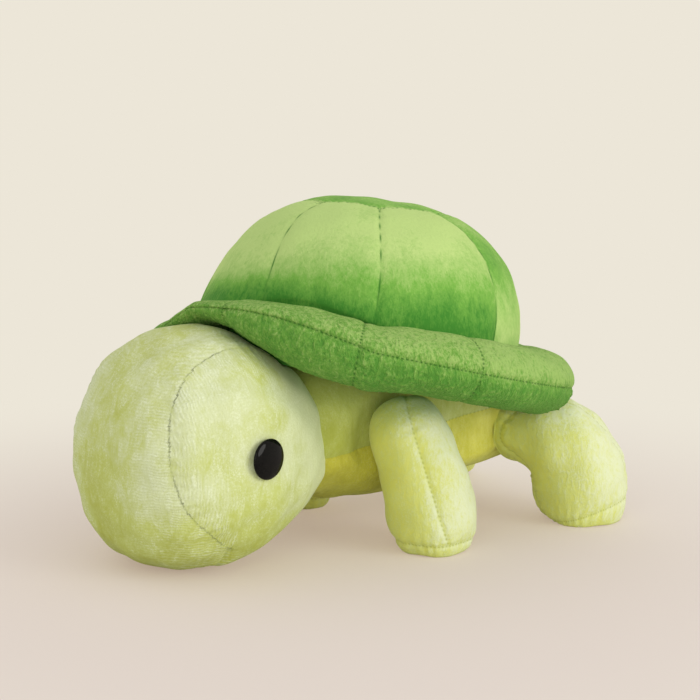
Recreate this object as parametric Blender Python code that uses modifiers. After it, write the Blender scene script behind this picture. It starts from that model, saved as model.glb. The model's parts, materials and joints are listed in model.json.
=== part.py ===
"""Plush turtle: a sewn and stuffed turtle whose head, legs and tail hang from a short trunk.

The toy stands on its four soles and its chin, faces -Y, and its left side is +X.
Every part is a fabric panel or a filling, and the bead eyes are held by washers inside the head.
"""
import math

import bmesh
import bpy
from mathutils import Matrix, Vector

MM = 0.001

# Fabric and seams; cutters run well past every piece
SKIN = 2.0 * MM
SEAM_GAP = 0.8 * MM
CLEARANCE = 0.3 * MM
FLOOR_CUT = 0.5 * MM
CUT_REACH = 400 * MM

# Shell: a dome inside a padded rim, tipped up at the front. The rim is soft: it rides up over
# the head on the left of the neck and hangs down on the right, the head presses it thin, and
# it sags beside the head on the left
SHELL_PITCH = math.radians(14.7)
SHELL_CENTRE_Y = -8 * MM
SHELL_CENTRE_Z = 87.3 * MM
SHELL_SECTORS = 8
SHELL_SEAM_TURN = math.radians(8)
RIM_RADIUS_X = 102.5 * MM
RIM_RADIUS_Y = 99 * MM
RIM_HALF_WIDTH = 16 * MM
RIM_HALF_HEIGHT = 14.5 * MM
RIM_TOP_PRESS = 10 * MM
RIM_TOP_PRESS_TURN = math.radians(-90)
RIM_TOP_PRESS_SPAN = math.radians(85)
RIM_NECK_PRESS = 10 * MM
RIM_NECK_PRESS_TURN = math.radians(-95)
RIM_NECK_PRESS_SPAN = math.radians(45)
RIM_SAG = 6.5 * MM
RIM_SAG_TURN = math.radians(-58)
RIM_SAG_SPAN = math.radians(40)
RIM_LIFT = 6.5 * MM
RIM_LIFT_SPAN = math.radians(49)
RIM_DROOP = 8 * MM
RIM_DROOP_SPAN = math.radians(88)
RIM_WAVE_START = math.radians(3)
RIM_PINCH_SHARE = 0.07
DOME_SPRING_HEIGHT = 11 * MM
DOME_RISE = 58.5 * MM
DOME_ROUNDNESS = 2.2
DOME_PINCH_SHARE = 0.015
DOME_WALL_SHARE = 4 / 5
DOME_BASE_SHARE = 0.6
DOME_WALL_GAP = 1 * MM
DOME_RIDE_SHARE = 0.25
TOP_PANEL_RADIUS = 33 * MM
BASE_SEAM_RISE = 4 * MM

# Trunk: a ball at the neck, flat flanks, a sagging belly
NECK_Y = -45 * MM
NECK_Z = 55 * MM
NECK_RADIUS = 34 * MM
TRUNK_REACH = 130 * MM
TRUNK_HALF_WIDTH = 36 * MM
TRUNK_FLANK = 31.1 * MM
TRUNK_DROOP = 14 * MM
TRUNK_TAPER_SHARE = 0.35
BELLY_SAG = 6 * MM
TRUNK_BLUNTNESS = 4.0
TRUNK_SECTION_ROUNDNESS = 2.2
TRUNK_RING_SHARES = (0.0, 0.09, 0.3, 0.65, 0.92, 1.0)
BELLY_SEAM_Z = 50 * MM
BELLY_SEAM_SLOPE = 0.11

# Head: an egg, blunt at the nose, that narrows to the neck
HEAD_CENTRE_Y = -99.8 * MM
HEAD_CENTRE_Z = 53 * MM
HEAD_HALF_WIDTH = 55.2 * MM
HEAD_HALF_HEIGHT = 53.5 * MM
HEAD_NOSE_REACH = 52.6 * MM
HEAD_NAPE_REACH = 71.6 * MM
HEAD_DROOP = 8.9 * MM
HEAD_SECTION_ROUNDNESS = 2.23
HEAD_NOSE_ROUNDNESS = 2.51
HEAD_NAPE_ROUNDNESS = 1.38
HEAD_TURN = math.radians(10)
RIM_CLEARANCE = 1.8 * MM
GUSSET_HALF_WIDTH = 39.3 * MM
GUSSET_SPLAY = math.radians(13)
CHIN_SEAM_Y = -113 * MM

# Eyes
EYE_RADIUS = 9 * MM
EYE_HEIGHT = 3.6 * MM
EYE_EDGE = 0.9 * MM
EYE_OFFSET_Y = -2.9 * MM
EYE_OFFSET_Z = 3.4 * MM
EYE_SEAT_DEPTH = 1.1 * MM
SHANK_RADIUS = 2.4 * MM
SHANK_LENGTH = 8 * MM
WASHER_RADIUS = 6.5 * MM
WASHER_THICKNESS = 1.4 * MM
WASHER_DEPTH = 4.2 * MM

# Legs, given for the left side: from the hip they bend down over the knee to the toe
LEG_PAD_GAP = 0.4 * MM
LEG_SWING = math.radians(15)
LEG_RING_SHARES = (0.0, 0.3, 0.6, 0.88, 1.0)
TOE_SHARE = 0.57
SOLE_SHARE = 0.58
FRONT_HIP = Vector((45 * MM, -17 * MM, 53 * MM))
FRONT_KNEE = Vector((53 * MM, -8 * MM, 28 * MM))
FRONT_HIP_RADIUS = 18 * MM
FRONT_FOOT_RADIUS = 22 * MM
FRONT_SWELL_SHARE = 0.0
FRONT_SEAM_TURN = math.radians(50)
FRONT_SEAM_LEAN = math.radians(-17)
FRONT_SOLE_RISE = 5.5 * MM
FRONT_SOLE_TIP = math.radians(0)
REAR_HIP = Vector((31 * MM, 54 * MM, 40 * MM))
REAR_KNEE = Vector((61 * MM, 81.6 * MM, 44 * MM))
REAR_HIP_RADIUS = 17 * MM
REAR_FOOT_RADIUS = 23 * MM
REAR_SWELL_SHARE = 0.14
REAR_SEAM_TURN = math.radians(142)
REAR_SEAM_LEAN = math.radians(0)
REAR_SOLE_RISE = 6 * MM
REAR_SOLE_TIP = math.radians(15)
SOLE_TIP_TURN = math.radians(52)

# Tail
TAIL_Z = 38 * MM
TAIL_INSET = 5 * MM
TAIL_RADIUS = 9 * MM
TAIL_LENGTH = 21 * MM
TAIL_DROOP = 4 * MM
TAIL_MOUTH = 5 * MM

# How finely the forms are divided
SHELL_SEGMENTS = 16
RIM_SECTION_SEGMENTS = 8
DOME_RINGS = 10
HEAD_SEGMENTS = 18
HEAD_RINGS = 10
TRUNK_SEGMENTS = 12
TRUNK_RINGS = 2 * (len(TRUNK_RING_SHARES) - 1)
LEG_SEGMENTS = 8
LEG_HIP_RINGS = 2
LEG_RINGS = LEG_HIP_RINGS + len(LEG_RING_SHARES)
TAIL_SEGMENTS = 8
TAIL_RINGS = 6
NECK_POCKET_SEGMENTS = 14
TAIL_POCKET_SEGMENTS = 10
EYE_STEPS = 14
EYE_CURVE_STEPS = 4
HOLE_STEPS = 10
TURN_SHARES = (-1.0, -0.5, 0.0, 0.5, 1.0)
SHARP_ANGLE = math.radians(40)

# Places that follow from the sizes
RIM_CENTRE_X = RIM_RADIUS_X - RIM_HALF_WIDTH
RIM_CENTRE_Y = RIM_RADIUS_Y - RIM_HALF_WIDTH
TRUNK_END_Y = NECK_Y + TRUNK_REACH
TAIL_PIVOT = Vector((0, TRUNK_END_Y - TAIL_INSET, TAIL_Z))
HEAD_FRONT_Y = HEAD_CENTRE_Y - HEAD_NOSE_REACH
TAIL_END_Y = TAIL_PIVOT.y + TAIL_LENGTH
REAR_END_Y = max(TAIL_END_Y, REAR_KNEE.y + REAR_FOOT_RADIUS)
TOY_SHIFT = Vector((0, -(HEAD_FRONT_Y + REAR_END_Y) / 2, 0))
FILLING_DEPTH = SKIN + CLEARANCE
HALF_SEAM = SEAM_GAP / 2
EYE_CENTRE = Vector((HEAD_HALF_WIDTH - EYE_SEAT_DEPTH, HEAD_CENTRE_Y + EYE_OFFSET_Y,
                     HEAD_CENTRE_Z + EYE_OFFSET_Z))
LEG_PAD = TRUNK_FLANK + LEG_PAD_GAP
SIDES = ((1, "left"), (-1, "right"))

COLOURS = {
    "lime_plush": (0.56, 0.64, 0.22),
    "light_green_plush": (0.26, 0.54, 0.10),
    "green_plush": (0.11, 0.34, 0.04),
    "rim_green_plush": (0.08, 0.30, 0.03),
    "yellow_green_plush": (0.50, 0.45, 0.07),
    "fibre_filling": (0.85, 0.84, 0.80),
    "black_plastic": (0.01, 0.01, 0.01),
    "white_plastic": (0.75, 0.75, 0.72),
}


def clear_scene():
    for item in list(bpy.data.objects):
        bpy.data.objects.remove(item, do_unlink=True)


def new_collection(name):
    collection = bpy.data.collections.new(name)
    bpy.context.scene.collection.children.link(collection)
    return collection


def material(name):
    made = bpy.data.materials.get(name)
    if made is None:
        made = bpy.data.materials.new(name)
        made.use_nodes = True
        surface = made.node_tree.nodes["Principled BSDF"]
        surface.inputs["Base Color"].default_value = (*COLOURS[name], 1)
        surface.inputs["Roughness"].default_value = 0.2 if name == "black_plastic" else 0.95
        surface.inputs["Metallic"].default_value = 0
    return made


def pivot(name, place, tip=0.0, parent=None):
    """An empty on a joint's axis, or the frame of a group of pieces."""
    empty = bpy.data.objects.new(name, None)
    empty.empty_display_size = EYE_RADIUS
    empty.parent = parent
    empty.location = place - (parent_place(parent) if parent else Vector())
    empty.rotation_euler = (tip, 0, 0)
    PARTS.objects.link(empty)
    return empty


def parent_place(parent):
    """Where a frame stands, measured before the whole toy is shifted."""
    place = Vector()
    while parent and parent.parent:
        place += parent.location
        parent = parent.parent
    return place


def add_piece(name, mesh, parent, colour):
    piece = bpy.data.objects.new(name, mesh)
    piece.parent = parent
    PARTS.objects.link(piece)
    if not mesh.materials:
        mesh.materials.append(None)
    piece.material_slots[0].link = "OBJECT"
    piece.material_slots[0].material = material(colour)
    return piece


def add_cutter(name, mesh, parent):
    cutter = bpy.data.objects.new(name, mesh)
    cutter.parent = parent
    cutter.hide_render = True
    cutter.display_type = "WIRE"
    CUTTERS.objects.link(cutter)
    return cutter


def face_outwards(bm):
    bm.normal_update()
    bmesh.ops.recalc_face_normals(bm, faces=bm.faces)
    bm.normal_update()


def finish_mesh(name, bm):
    face_outwards(bm)
    mesh = bpy.data.meshes.new(name)
    bm.to_mesh(mesh)
    bm.free()
    mesh.shade_smooth()
    mesh.set_sharp_from_angle(angle=SHARP_ANGLE)
    return mesh


def ball_form(name, segments, rings, place, inset=0.0):
    """A unit ball whose points are moved by place(), then sunk inwards by inset."""
    bm = bmesh.new()
    bmesh.ops.create_uvsphere(bm, u_segments=segments, v_segments=rings, radius=1)
    for vert in bm.verts:
        vert.co = place(vert.co.copy())
    return inset_form(name, bm, inset)


def rim_form(name, inset=0.0):
    """The rim's closed ring, sunk inwards by inset."""
    bpy.ops.mesh.primitive_torus_add(major_segments=SHELL_SEGMENTS, minor_segments=RIM_SECTION_SEGMENTS,
                                     major_radius=RIM_CENTRE_X, minor_radius=RIM_HALF_WIDTH)
    ring = bpy.context.object.data
    bm = bmesh.new()
    bm.from_mesh(ring)
    bpy.data.meshes.remove(ring)
    for vert in bm.verts:
        turn = math.atan2(vert.co.y, vert.co.x) + SHELL_SEAM_TURN
        section_turn = math.atan2(vert.co.z, math.hypot(vert.co.x, vert.co.y) - RIM_CENTRE_X)
        vert.co = rim_point(turn, section_turn)
    return inset_form(name, bm, inset)


def inset_form(name, bm, inset):
    """Faces are split before the inset, so a skin and its filling are split alike."""
    bmesh.ops.triangulate(bm, faces=bm.faces)
    face_outwards(bm)
    steps = [vert.normal * inset for vert in bm.verts]
    for vert, step in zip(bm.verts, steps):
        vert.co -= step
    return finish_mesh(name, bm)


def add_block(name, parent, x=(None, None), y=(None, None), z=(None, None)):
    """A cutting block between limits; where no limit is given it runs past the toy."""
    low = Vector(-CUT_REACH if limits[0] is None else limits[0] for limits in (x, y, z))
    high = Vector(CUT_REACH if limits[1] is None else limits[1] for limits in (x, y, z))
    middle, size = (low + high) / 2, high - low
    bm = bmesh.new()
    bmesh.ops.create_cube(bm, size=1)
    for vert in bm.verts:
        vert.co = middle + Vector(a * b for a, b in zip(vert.co, size))
    return add_cutter(name, finish_mesh(name, bm), parent)


def beyond(side, start):
    """The limits of all that lies beyond start, to the left (side 1) or to the right (side -1)."""
    return (start, None) if side > 0 else (None, -start)


def prism_mesh(name, outline, bottom, top):
    """A flat outline raised from bottom to top."""
    bm = bmesh.new()
    bmesh.ops.create_circle(bm, segments=len(outline), radius=1, cap_ends=True)
    for vert, (x, y) in zip(bm.verts, outline):
        vert.co = Vector((x, y, bottom))
    raised = bmesh.ops.extrude_face_region(bm, geom=bm.faces[:])["geom"]
    for vert in (item for item in raised if isinstance(item, bmesh.types.BMVert)):
        vert.co.z = top
    return finish_mesh(name, bm)


def pocket_mesh(name, centre, radius, segments):
    """A faceted ball whose flats, not its corners, lie at the radius."""
    corner_radius = radius / math.cos(math.pi / segments) ** 2
    return ball_form(name, segments, segments // 2, lambda unit: centre + unit * corner_radius)


def cut(piece, cutter, keep_inside=False):
    """The exact solver loses whole panels of a double skin, so each cut is a manifold one."""
    boolean = piece.modifiers.new("cut_" + cutter.name, "BOOLEAN")
    boolean.object = cutter
    boolean.operation = "INTERSECT" if keep_inside else "DIFFERENCE"
    boolean.solver = "MANIFOLD"


def cover(name, form, parent, colour):
    """One fabric panel, before it is cut out of its form."""
    panel = add_piece(name, form, parent, colour)
    skin = panel.modifiers.new("skin", "SOLIDIFY")
    skin.thickness = SKIN
    skin.offset = -1
    return panel


def profile_mesh(name, profile, closed=False):
    """A profile of (radius, height) points, to be turned about Z."""
    mesh = bpy.data.meshes.new(name)
    edges = [(i, i + 1) for i in range(len(profile) - 1)]
    if closed:
        edges.append((len(profile) - 1, 0))
    mesh.from_pydata([(radius, 0, height) for radius, height in profile], edges, [])
    return mesh


def turn_profile(piece, place, side, steps):
    """Turn a piece's profile about an axis along X, with its top towards the given side."""
    piece.location = place
    piece.rotation_euler = (0, side * math.pi / 2, 0)
    screw = piece.modifiers.new("turn", "SCREW")
    screw.steps = steps
    screw.render_steps = steps
    screw.use_merge_vertices = True
    screw.merge_threshold = 0.01 * MM


def round_power(value, roundness):
    return math.copysign(abs(value) ** (2 / roundness), value)


def seam_share(turn):
    """1 on the shell's seams, 0 between them."""
    return max(0.0, math.cos(SHELL_SECTORS * (turn - SHELL_SEAM_TURN))) ** 2


def hump(turn, middle, span):
    """1 at the middle turn, down to 0 a span away on both sides."""
    away = abs((turn - middle + math.pi) % math.tau - math.pi)
    return math.cos(math.pi / 2 * min(1.0, away / span)) ** 2


def rim_wave(turn):
    """How far the rim rides up (or, below 0, hangs down) at a turn."""
    past_start = (turn + math.pi / 2 - RIM_WAVE_START + math.pi) % math.tau - math.pi
    if 0 < past_start < RIM_LIFT_SPAN:
        return RIM_LIFT * math.sin(math.pi * past_start / RIM_LIFT_SPAN)
    if -RIM_DROOP_SPAN < past_start < 0:
        return RIM_DROOP * math.sin(math.pi * past_start / RIM_DROOP_SPAN)
    return 0.0


def rim_half_height(turn, upper):
    height = RIM_HALF_HEIGHT * (1 - RIM_PINCH_SHARE * seam_share(turn))
    if upper:
        return height - RIM_TOP_PRESS * hump(turn, RIM_TOP_PRESS_TURN, RIM_TOP_PRESS_SPAN)
    height += RIM_SAG * hump(turn, RIM_SAG_TURN, RIM_SAG_SPAN)
    return height - RIM_NECK_PRESS * hump(turn, RIM_NECK_PRESS_TURN, RIM_NECK_PRESS_SPAN)


def rim_point(turn, section_turn):
    out, up = math.cos(section_turn), math.sin(section_turn)
    width = RIM_HALF_WIDTH * (1 - (RIM_PINCH_SHARE * seam_share(turn) if out > 0 else 0))
    return Vector(((RIM_CENTRE_X + width * out) * math.cos(turn),
                   (RIM_CENTRE_Y + width * out) * math.sin(turn),
                   rim_wave(turn) + rim_half_height(turn, up >= 0) * up))


def dome_wall_inset(height, turn):
    """How far the dome's wall stays inside the rim's centre line at a height."""
    level = min(1.0, max(0.0, height - rim_wave(turn)) / RIM_HALF_HEIGHT)
    return RIM_HALF_WIDTH * math.sqrt(1 - level ** 2) + DOME_WALL_GAP


def dome_point(unit):
    turn = math.atan2(unit.y, unit.x) + SHELL_SEAM_TURN
    polar = math.acos(max(-1.0, min(1.0, unit.z)))
    spring = DOME_SPRING_HEIGHT + (1 - DOME_RIDE_SHARE) * rim_wave(turn)
    if unit.z >= 0:
        top = DOME_SPRING_HEIGHT + DOME_RISE
        height = spring + (top - spring) * round_power(math.cos(polar), DOME_ROUNDNESS)
        share = round_power(math.sin(polar), DOME_ROUNDNESS)
        share *= 1 - DOME_PINCH_SHARE * seam_share(turn)
        inset = dome_wall_inset(spring, turn)
    else:
        down = (polar / (math.pi / 2) - 1) / DOME_WALL_SHARE
        height = spring - (spring + RIM_HALF_HEIGHT) * min(1.0, down)
        share = min(1.0, max(0.0, (1 / DOME_WALL_SHARE - down) / (1 / DOME_WALL_SHARE - 1)))
        inset = dome_wall_inset(height, turn)
    return Vector(((RIM_CENTRE_X - inset) * share * math.cos(turn),
                   (RIM_CENTRE_Y - inset) * share * math.sin(turn), height))


def faceted(value, turn):
    """A value round the rim as its form has it: straight from one ring of points to the next."""
    step = math.tau / SHELL_SEGMENTS
    place = (turn - SHELL_SEAM_TURN) / step
    ring = math.floor(place)
    before, after = value(SHELL_SEAM_TURN + ring * step), value(SHELL_SEAM_TURN + (ring + 1) * step)
    return before + (after - before) * (place - ring)


def shell_underside(x, y, clearance):
    """Height of the shell's underside over a point of the floor, or None outside the rim."""
    rise, run = math.sin(SHELL_PITCH), math.cos(SHELL_PITCH)
    along = (y - SHELL_CENTRE_Y + RIM_HALF_HEIGHT * rise) / run
    turn = math.atan2(along / RIM_CENTRE_Y, x / RIM_CENTRE_X)
    out = (math.hypot(x / RIM_CENTRE_X, along / RIM_CENTRE_Y) - 1) * (RIM_CENTRE_X + RIM_CENTRE_Y) / 2
    width = RIM_HALF_WIDTH + clearance
    if out > width:
        return None
    depth = RIM_HALF_HEIGHT
    if out > -width:
        lower = faceted(lambda at: rim_half_height(at, upper=False), turn)
        edge = lower * math.sqrt(1 - (out / width) ** 2) - faceted(rim_wave, turn)
        inward = min(1.0, max(0.0, -out) / (RIM_HALF_WIDTH * DOME_BASE_SHARE))
        depth = max(edge, RIM_HALF_HEIGHT * inward)
    return SHELL_CENTRE_Z - along * rise - (depth + clearance) * run


def trunk_point(unit):
    """The ball's -Z pole is the front of the neck, its +Z pole the rear end."""
    across, up, back = unit.x, unit.y, unit.z
    if back <= 0:
        return lowered(Vector((0, NECK_Y, NECK_Z)) + Vector((across, back, up)) * NECK_RADIUS)
    ring = round(math.asin(min(1.0, back)) / math.pi * TRUNK_RINGS)
    along = TRUNK_RING_SHARES[ring]
    turn = math.atan2(up, across)
    thickness = (1 - along ** TRUNK_BLUNTNESS) ** (1 / TRUNK_BLUNTNESS)
    growth = math.sin(math.pi / 2 * min(1.0, along / TRUNK_RING_SHARES[2]))
    roundness = 2 + (TRUNK_SECTION_ROUNDNESS - 2) * growth
    half_width = NECK_RADIUS + (TRUNK_HALF_WIDTH - NECK_RADIUS) * growth
    half_height = (NECK_RADIUS + BELLY_SAG * growth) * (1 - TRUNK_TAPER_SHARE * along)
    x = half_width * thickness * round_power(math.cos(turn), roundness)
    z = NECK_Z - TRUNK_DROOP * along + half_height * thickness * round_power(math.sin(turn), roundness)
    y = NECK_Y + TRUNK_REACH * along
    flank = TRUNK_FLANK if ring > 0 else NECK_RADIUS
    return lowered(Vector((max(-flank, min(flank, x)), y, z)))


def lowered(point):
    """Keep a point of the trunk under the flat of the shell."""
    rise, run = math.sin(SHELL_PITCH), math.cos(SHELL_PITCH)
    along = (point.y - SHELL_CENTRE_Y + RIM_HALF_HEIGHT * rise) / run
    ceiling = SHELL_CENTRE_Z - along * rise - (RIM_HALF_HEIGHT + CLEARANCE) * run
    return Vector((point.x, point.y, min(point.z, ceiling)))


def under_shell(point, joint, axis, swing):
    """Lower a point until the shell clears it wherever its joint turns it."""
    excess = 0.0
    for share in TURN_SHARES:
        spot = joint + Matrix.Rotation(swing * share, 3, axis) @ (point - joint)
        height = shell_underside(spot.x, spot.y, RIM_CLEARANCE)
        if height is not None:
            excess = max(excess, spot.z - height)
    return point - Vector((0, 0, excess))


def head_point(unit):
    """The ball's poles lie under the two eyes."""
    across, back, up = unit.z, unit.x, unit.y
    section = abs(across / HEAD_HALF_WIDTH) ** HEAD_SECTION_ROUNDNESS
    section += abs(up / HEAD_HALF_HEIGHT) ** HEAD_SECTION_ROUNDNESS
    nose = back < 0
    reach = HEAD_NOSE_REACH if nose else HEAD_NAPE_REACH
    power = HEAD_NOSE_ROUNDNESS if nose else HEAD_NAPE_ROUNDNESS
    stretch = (section ** (power / HEAD_SECTION_ROUNDNESS) + abs(back / reach) ** power) ** (-1 / power)
    x, y, z = across * stretch, back * stretch, up * stretch
    z += HEAD_CENTRE_Z - HEAD_DROOP * (y / reach) ** 2
    y += HEAD_CENTRE_Y
    return under_shell(Vector((x, y, z)), Vector((0, NECK_Y, 0)), "Z", HEAD_TURN)


def leg_width_share(along, swell_share):
    """How wide the leg is along its length: it swells before the toe and rounds off to the sole."""
    toe = max(0.0, along - TOE_SHARE) / (1 - TOE_SHARE)
    swell = swell_share * math.sin(math.pi * min(1.0, along / TOE_SHARE))
    return SOLE_SHARE + (1 - SOLE_SHARE) * math.sqrt(1 - toe ** 2) + swell


def leg_point(unit, hip, knee, hip_radius, foot_radius, swell_share):
    """The ball's +Z pole is the hip end, its -Z pole the middle of the sole."""
    foot = Vector((knee.x, knee.y, -FLOOR_CUT))
    turn = math.atan2(unit.y, unit.x)
    ring = round(math.acos(max(-1.0, min(1.0, unit.z))) / math.pi * LEG_RINGS)
    if ring < LEG_HIP_RINGS:
        polar = math.pi / 2 * ring / LEG_HIP_RINGS
        along, width, back = 0.0, math.sin(polar), -math.cos(polar)
    elif ring < LEG_RINGS:
        along, back = LEG_RING_SHARES[ring - LEG_HIP_RINGS], 0.0
        width = leg_width_share(along, swell_share)
    else:
        along, width, back = 1.0, 0.0, 0.0
    centre = hip * (1 - along) ** 2 + knee * 2 * along * (1 - along) + foot * along ** 2
    heading = ((knee - hip) * (1 - along) + (foot - knee) * along).normalized()
    radius = hip_radius + (foot_radius - hip_radius) * along
    side = heading.cross(Vector((0, 1, 0))).normalized()
    other = heading.cross(side)
    spot = centre + heading * (hip_radius * back)
    spot += (side * math.cos(turn) + other * math.sin(turn)) * (radius * width)
    spot = under_shell(spot, hip, "X", LEG_SWING)
    return Vector((max(LEG_PAD, spot.x), spot.y, max(0.0, spot.z)))


def tail_point(unit):
    """A ball in the trunk's rear end, drawn out into a short drooping tip."""
    across, up, back = unit.x, unit.y, unit.z
    drawn = max(0.0, back)
    return TAIL_PIVOT + Vector((across * TAIL_RADIUS,
                                back * TAIL_RADIUS + (TAIL_LENGTH - TAIL_RADIUS) * drawn,
                                up * TAIL_RADIUS - TAIL_DROOP * drawn ** 2))


def from_frame(place, origin):
    """A form measured from the origin of the frame that carries it."""
    return lambda *unit: place(*unit) - origin


def on_side(point, side):
    return Vector((point.x * side, point.y, point.z))


def make_shell(frame):
    dome = ball_form("dome_form", SHELL_SEGMENTS, DOME_RINGS, dome_point)
    rim = rim_form("rim_form")
    base_seam = BASE_SEAM_RISE - RIM_HALF_HEIGHT
    step = math.tau / SHELL_SECTORS
    octagon = [(TOP_PANEL_RADIUS * math.cos(turn), TOP_PANEL_RADIUS * math.sin(turn))
               for turn in (i * step + SHELL_SEAM_TURN for i in range(SHELL_SECTORS))]
    wider = 1 + SEAM_GAP / (TOP_PANEL_RADIUS * math.cos(step / 2))
    top_inside = add_cutter("top_panel_cutter", prism_mesh(
        "top_panel_cutter", octagon, 0, CUT_REACH), frame)
    top_hole = add_cutter("top_hole_cutter", prism_mesh(
        "top_hole_cutter", [(x * wider, y * wider) for x, y in octagon], 0, CUT_REACH), frame)
    above_base = add_block("above_base_cutter", frame, z=(base_seam + HALF_SEAM, None))
    below_base = add_block("below_base_cutter", frame, z=(None, base_seam - HALF_SEAM))
    above_rim = add_block("above_rim_seam_cutter", frame, z=(HALF_SEAM, None))
    below_rim = add_block("below_rim_seam_cutter", frame, z=(None, -HALF_SEAM))

    top = cover("shell_top_panel", dome, frame, "light_green_plush")
    cut(top, top_inside, keep_inside=True)
    base = cover("shell_base_panel", dome, frame, "green_plush")
    cut(base, below_base, keep_inside=True)
    for i in range(SHELL_SECTORS):
        sector = add_sector(f"sector_cutter_{i + 1}", i * step - math.pi / 2 + SHELL_SEAM_TURN,
                            step, frame)
        side = cover(f"shell_side_panel_{i + 1}", dome, frame,
                     "light_green_plush" if i % 2 else "green_plush")
        cut(side, sector, keep_inside=True)
        cut(side, above_base, keep_inside=True)
        cut(side, top_hole)
        for level, limit in (("upper", above_rim), ("lower", below_rim)):
            panel = cover(f"rim_{level}_panel_{i + 1}", rim, frame, "rim_green_plush")
            cut(panel, sector, keep_inside=True)
            cut(panel, limit, keep_inside=True)
    add_piece("shell_filling", ball_form("shell_filling_form", SHELL_SEGMENTS, DOME_RINGS, dome_point,
                                         FILLING_DEPTH), frame, "fibre_filling")
    add_piece("rim_filling", rim_form("rim_filling_form", FILLING_DEPTH), frame, "fibre_filling")


def add_sector(name, start, step, frame):
    """A wedge of the shell, drawn back by half a seam on both sides."""
    def along(turn):
        return Vector((math.cos(turn), math.sin(turn)))

    corner = along(start + step / 2) * (HALF_SEAM / math.sin(step / 2))
    outline = [corner, corner + along(start) * CUT_REACH, corner + along(start + step) * CUT_REACH]
    return add_cutter(name, prism_mesh(name, outline, -CUT_REACH, CUT_REACH), frame)


def make_trunk(frame):
    form = ball_form("trunk_form", TRUNK_SEGMENTS, TRUNK_RINGS, trunk_point)
    seam = pivot("belly_seam_frame", Vector((0, 0, BELLY_SEAM_Z)), math.atan(BELLY_SEAM_SLOPE), frame)
    below = add_block("belly_cutter", seam, z=(None, -HALF_SEAM))
    above = add_block("above_belly_cutter", seam, z=(HALF_SEAM, None))
    tail_seat = add_cutter("tail_seat_cutter", pocket_mesh(
        "tail_seat_cutter", TAIL_PIVOT, TAIL_RADIUS + CLEARANCE, TAIL_POCKET_SEGMENTS), frame)
    belly = cover("belly_panel", form, frame, "yellow_green_plush")
    cut(belly, below, keep_inside=True)
    cut(belly, tail_seat)
    for side, word in SIDES:
        half = add_block(f"trunk_{word}_cutter", frame, x=beyond(side, HALF_SEAM))
        panel = cover(f"trunk_side_{word}", form, frame, "lime_plush")
        cut(panel, above, keep_inside=True)
        cut(panel, half, keep_inside=True)
        cut(panel, tail_seat)
    filling = add_piece("trunk_filling", ball_form("trunk_filling_form", TRUNK_SEGMENTS, TRUNK_RINGS,
                                                   trunk_point, FILLING_DEPTH), frame, "fibre_filling")
    cut(filling, tail_seat)


def make_head(frame):
    origin = Vector((0, NECK_Y, 0))
    place = from_frame(head_point, origin)
    form = ball_form("head_form", HEAD_SEGMENTS, HEAD_RINGS, place)
    chin_seam = CHIN_SEAM_Y - origin.y
    neck = add_cutter("neck_cutter", pocket_mesh(
        "neck_cutter", Vector((0, 0, NECK_Z)), NECK_RADIUS + CLEARANCE, NECK_POCKET_SEGMENTS), frame)
    floor = add_block("chin_floor_cutter", frame, z=(None, 0))
    throat_block = add_block("throat_cutter", frame, y=(chin_seam + HALF_SEAM, None),
                             z=(None, HEAD_CENTRE_Z - HALF_SEAM))
    gusset_end = add_block("gusset_end_cutter", frame, y=(chin_seam - HALF_SEAM, None),
                           z=(None, HEAD_CENTRE_Z + HALF_SEAM))
    gusset = cover("head_gusset", form, frame, "lime_plush")
    cut(gusset, gusset_end)
    throat = cover("throat_panel", form, frame, "lime_plush")
    cut(throat, throat_block, keep_inside=True)
    filling = add_piece("head_filling", ball_form("head_filling_form", HEAD_SEGMENTS, HEAD_RINGS, place,
                                                  FILLING_DEPTH), frame, "fibre_filling")
    for side, word in SIDES:
        seam = pivot(f"gusset_seam_{word}_frame",
                     Vector((side * GUSSET_HALF_WIDTH, NECK_Y, HEAD_CENTRE_Z)), parent=frame)
        seam.rotation_euler = (0, -side * GUSSET_SPLAY, 0)
        outside = add_block(f"head_side_{word}_cutter", seam, x=beyond(side, HALF_SEAM))
        beside = add_block(f"head_beside_{word}_cutter", seam, x=beyond(side, -HALF_SEAM))
        panel = cover(f"head_side_{word}", form, frame, "lime_plush")
        cut(panel, outside, keep_inside=True)
        cut(panel, neck)
        seat, shank_hole, washer_pocket = make_eye(frame, side, word, origin)
        cut(panel, seat)
        cut(panel, shank_hole)
        cut(filling, washer_pocket)
        cut(gusset, beside)
        cut(throat, beside)
    for piece in (gusset, throat):
        cut(piece, neck)
        cut(piece, floor)
    cut(filling, neck)


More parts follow.
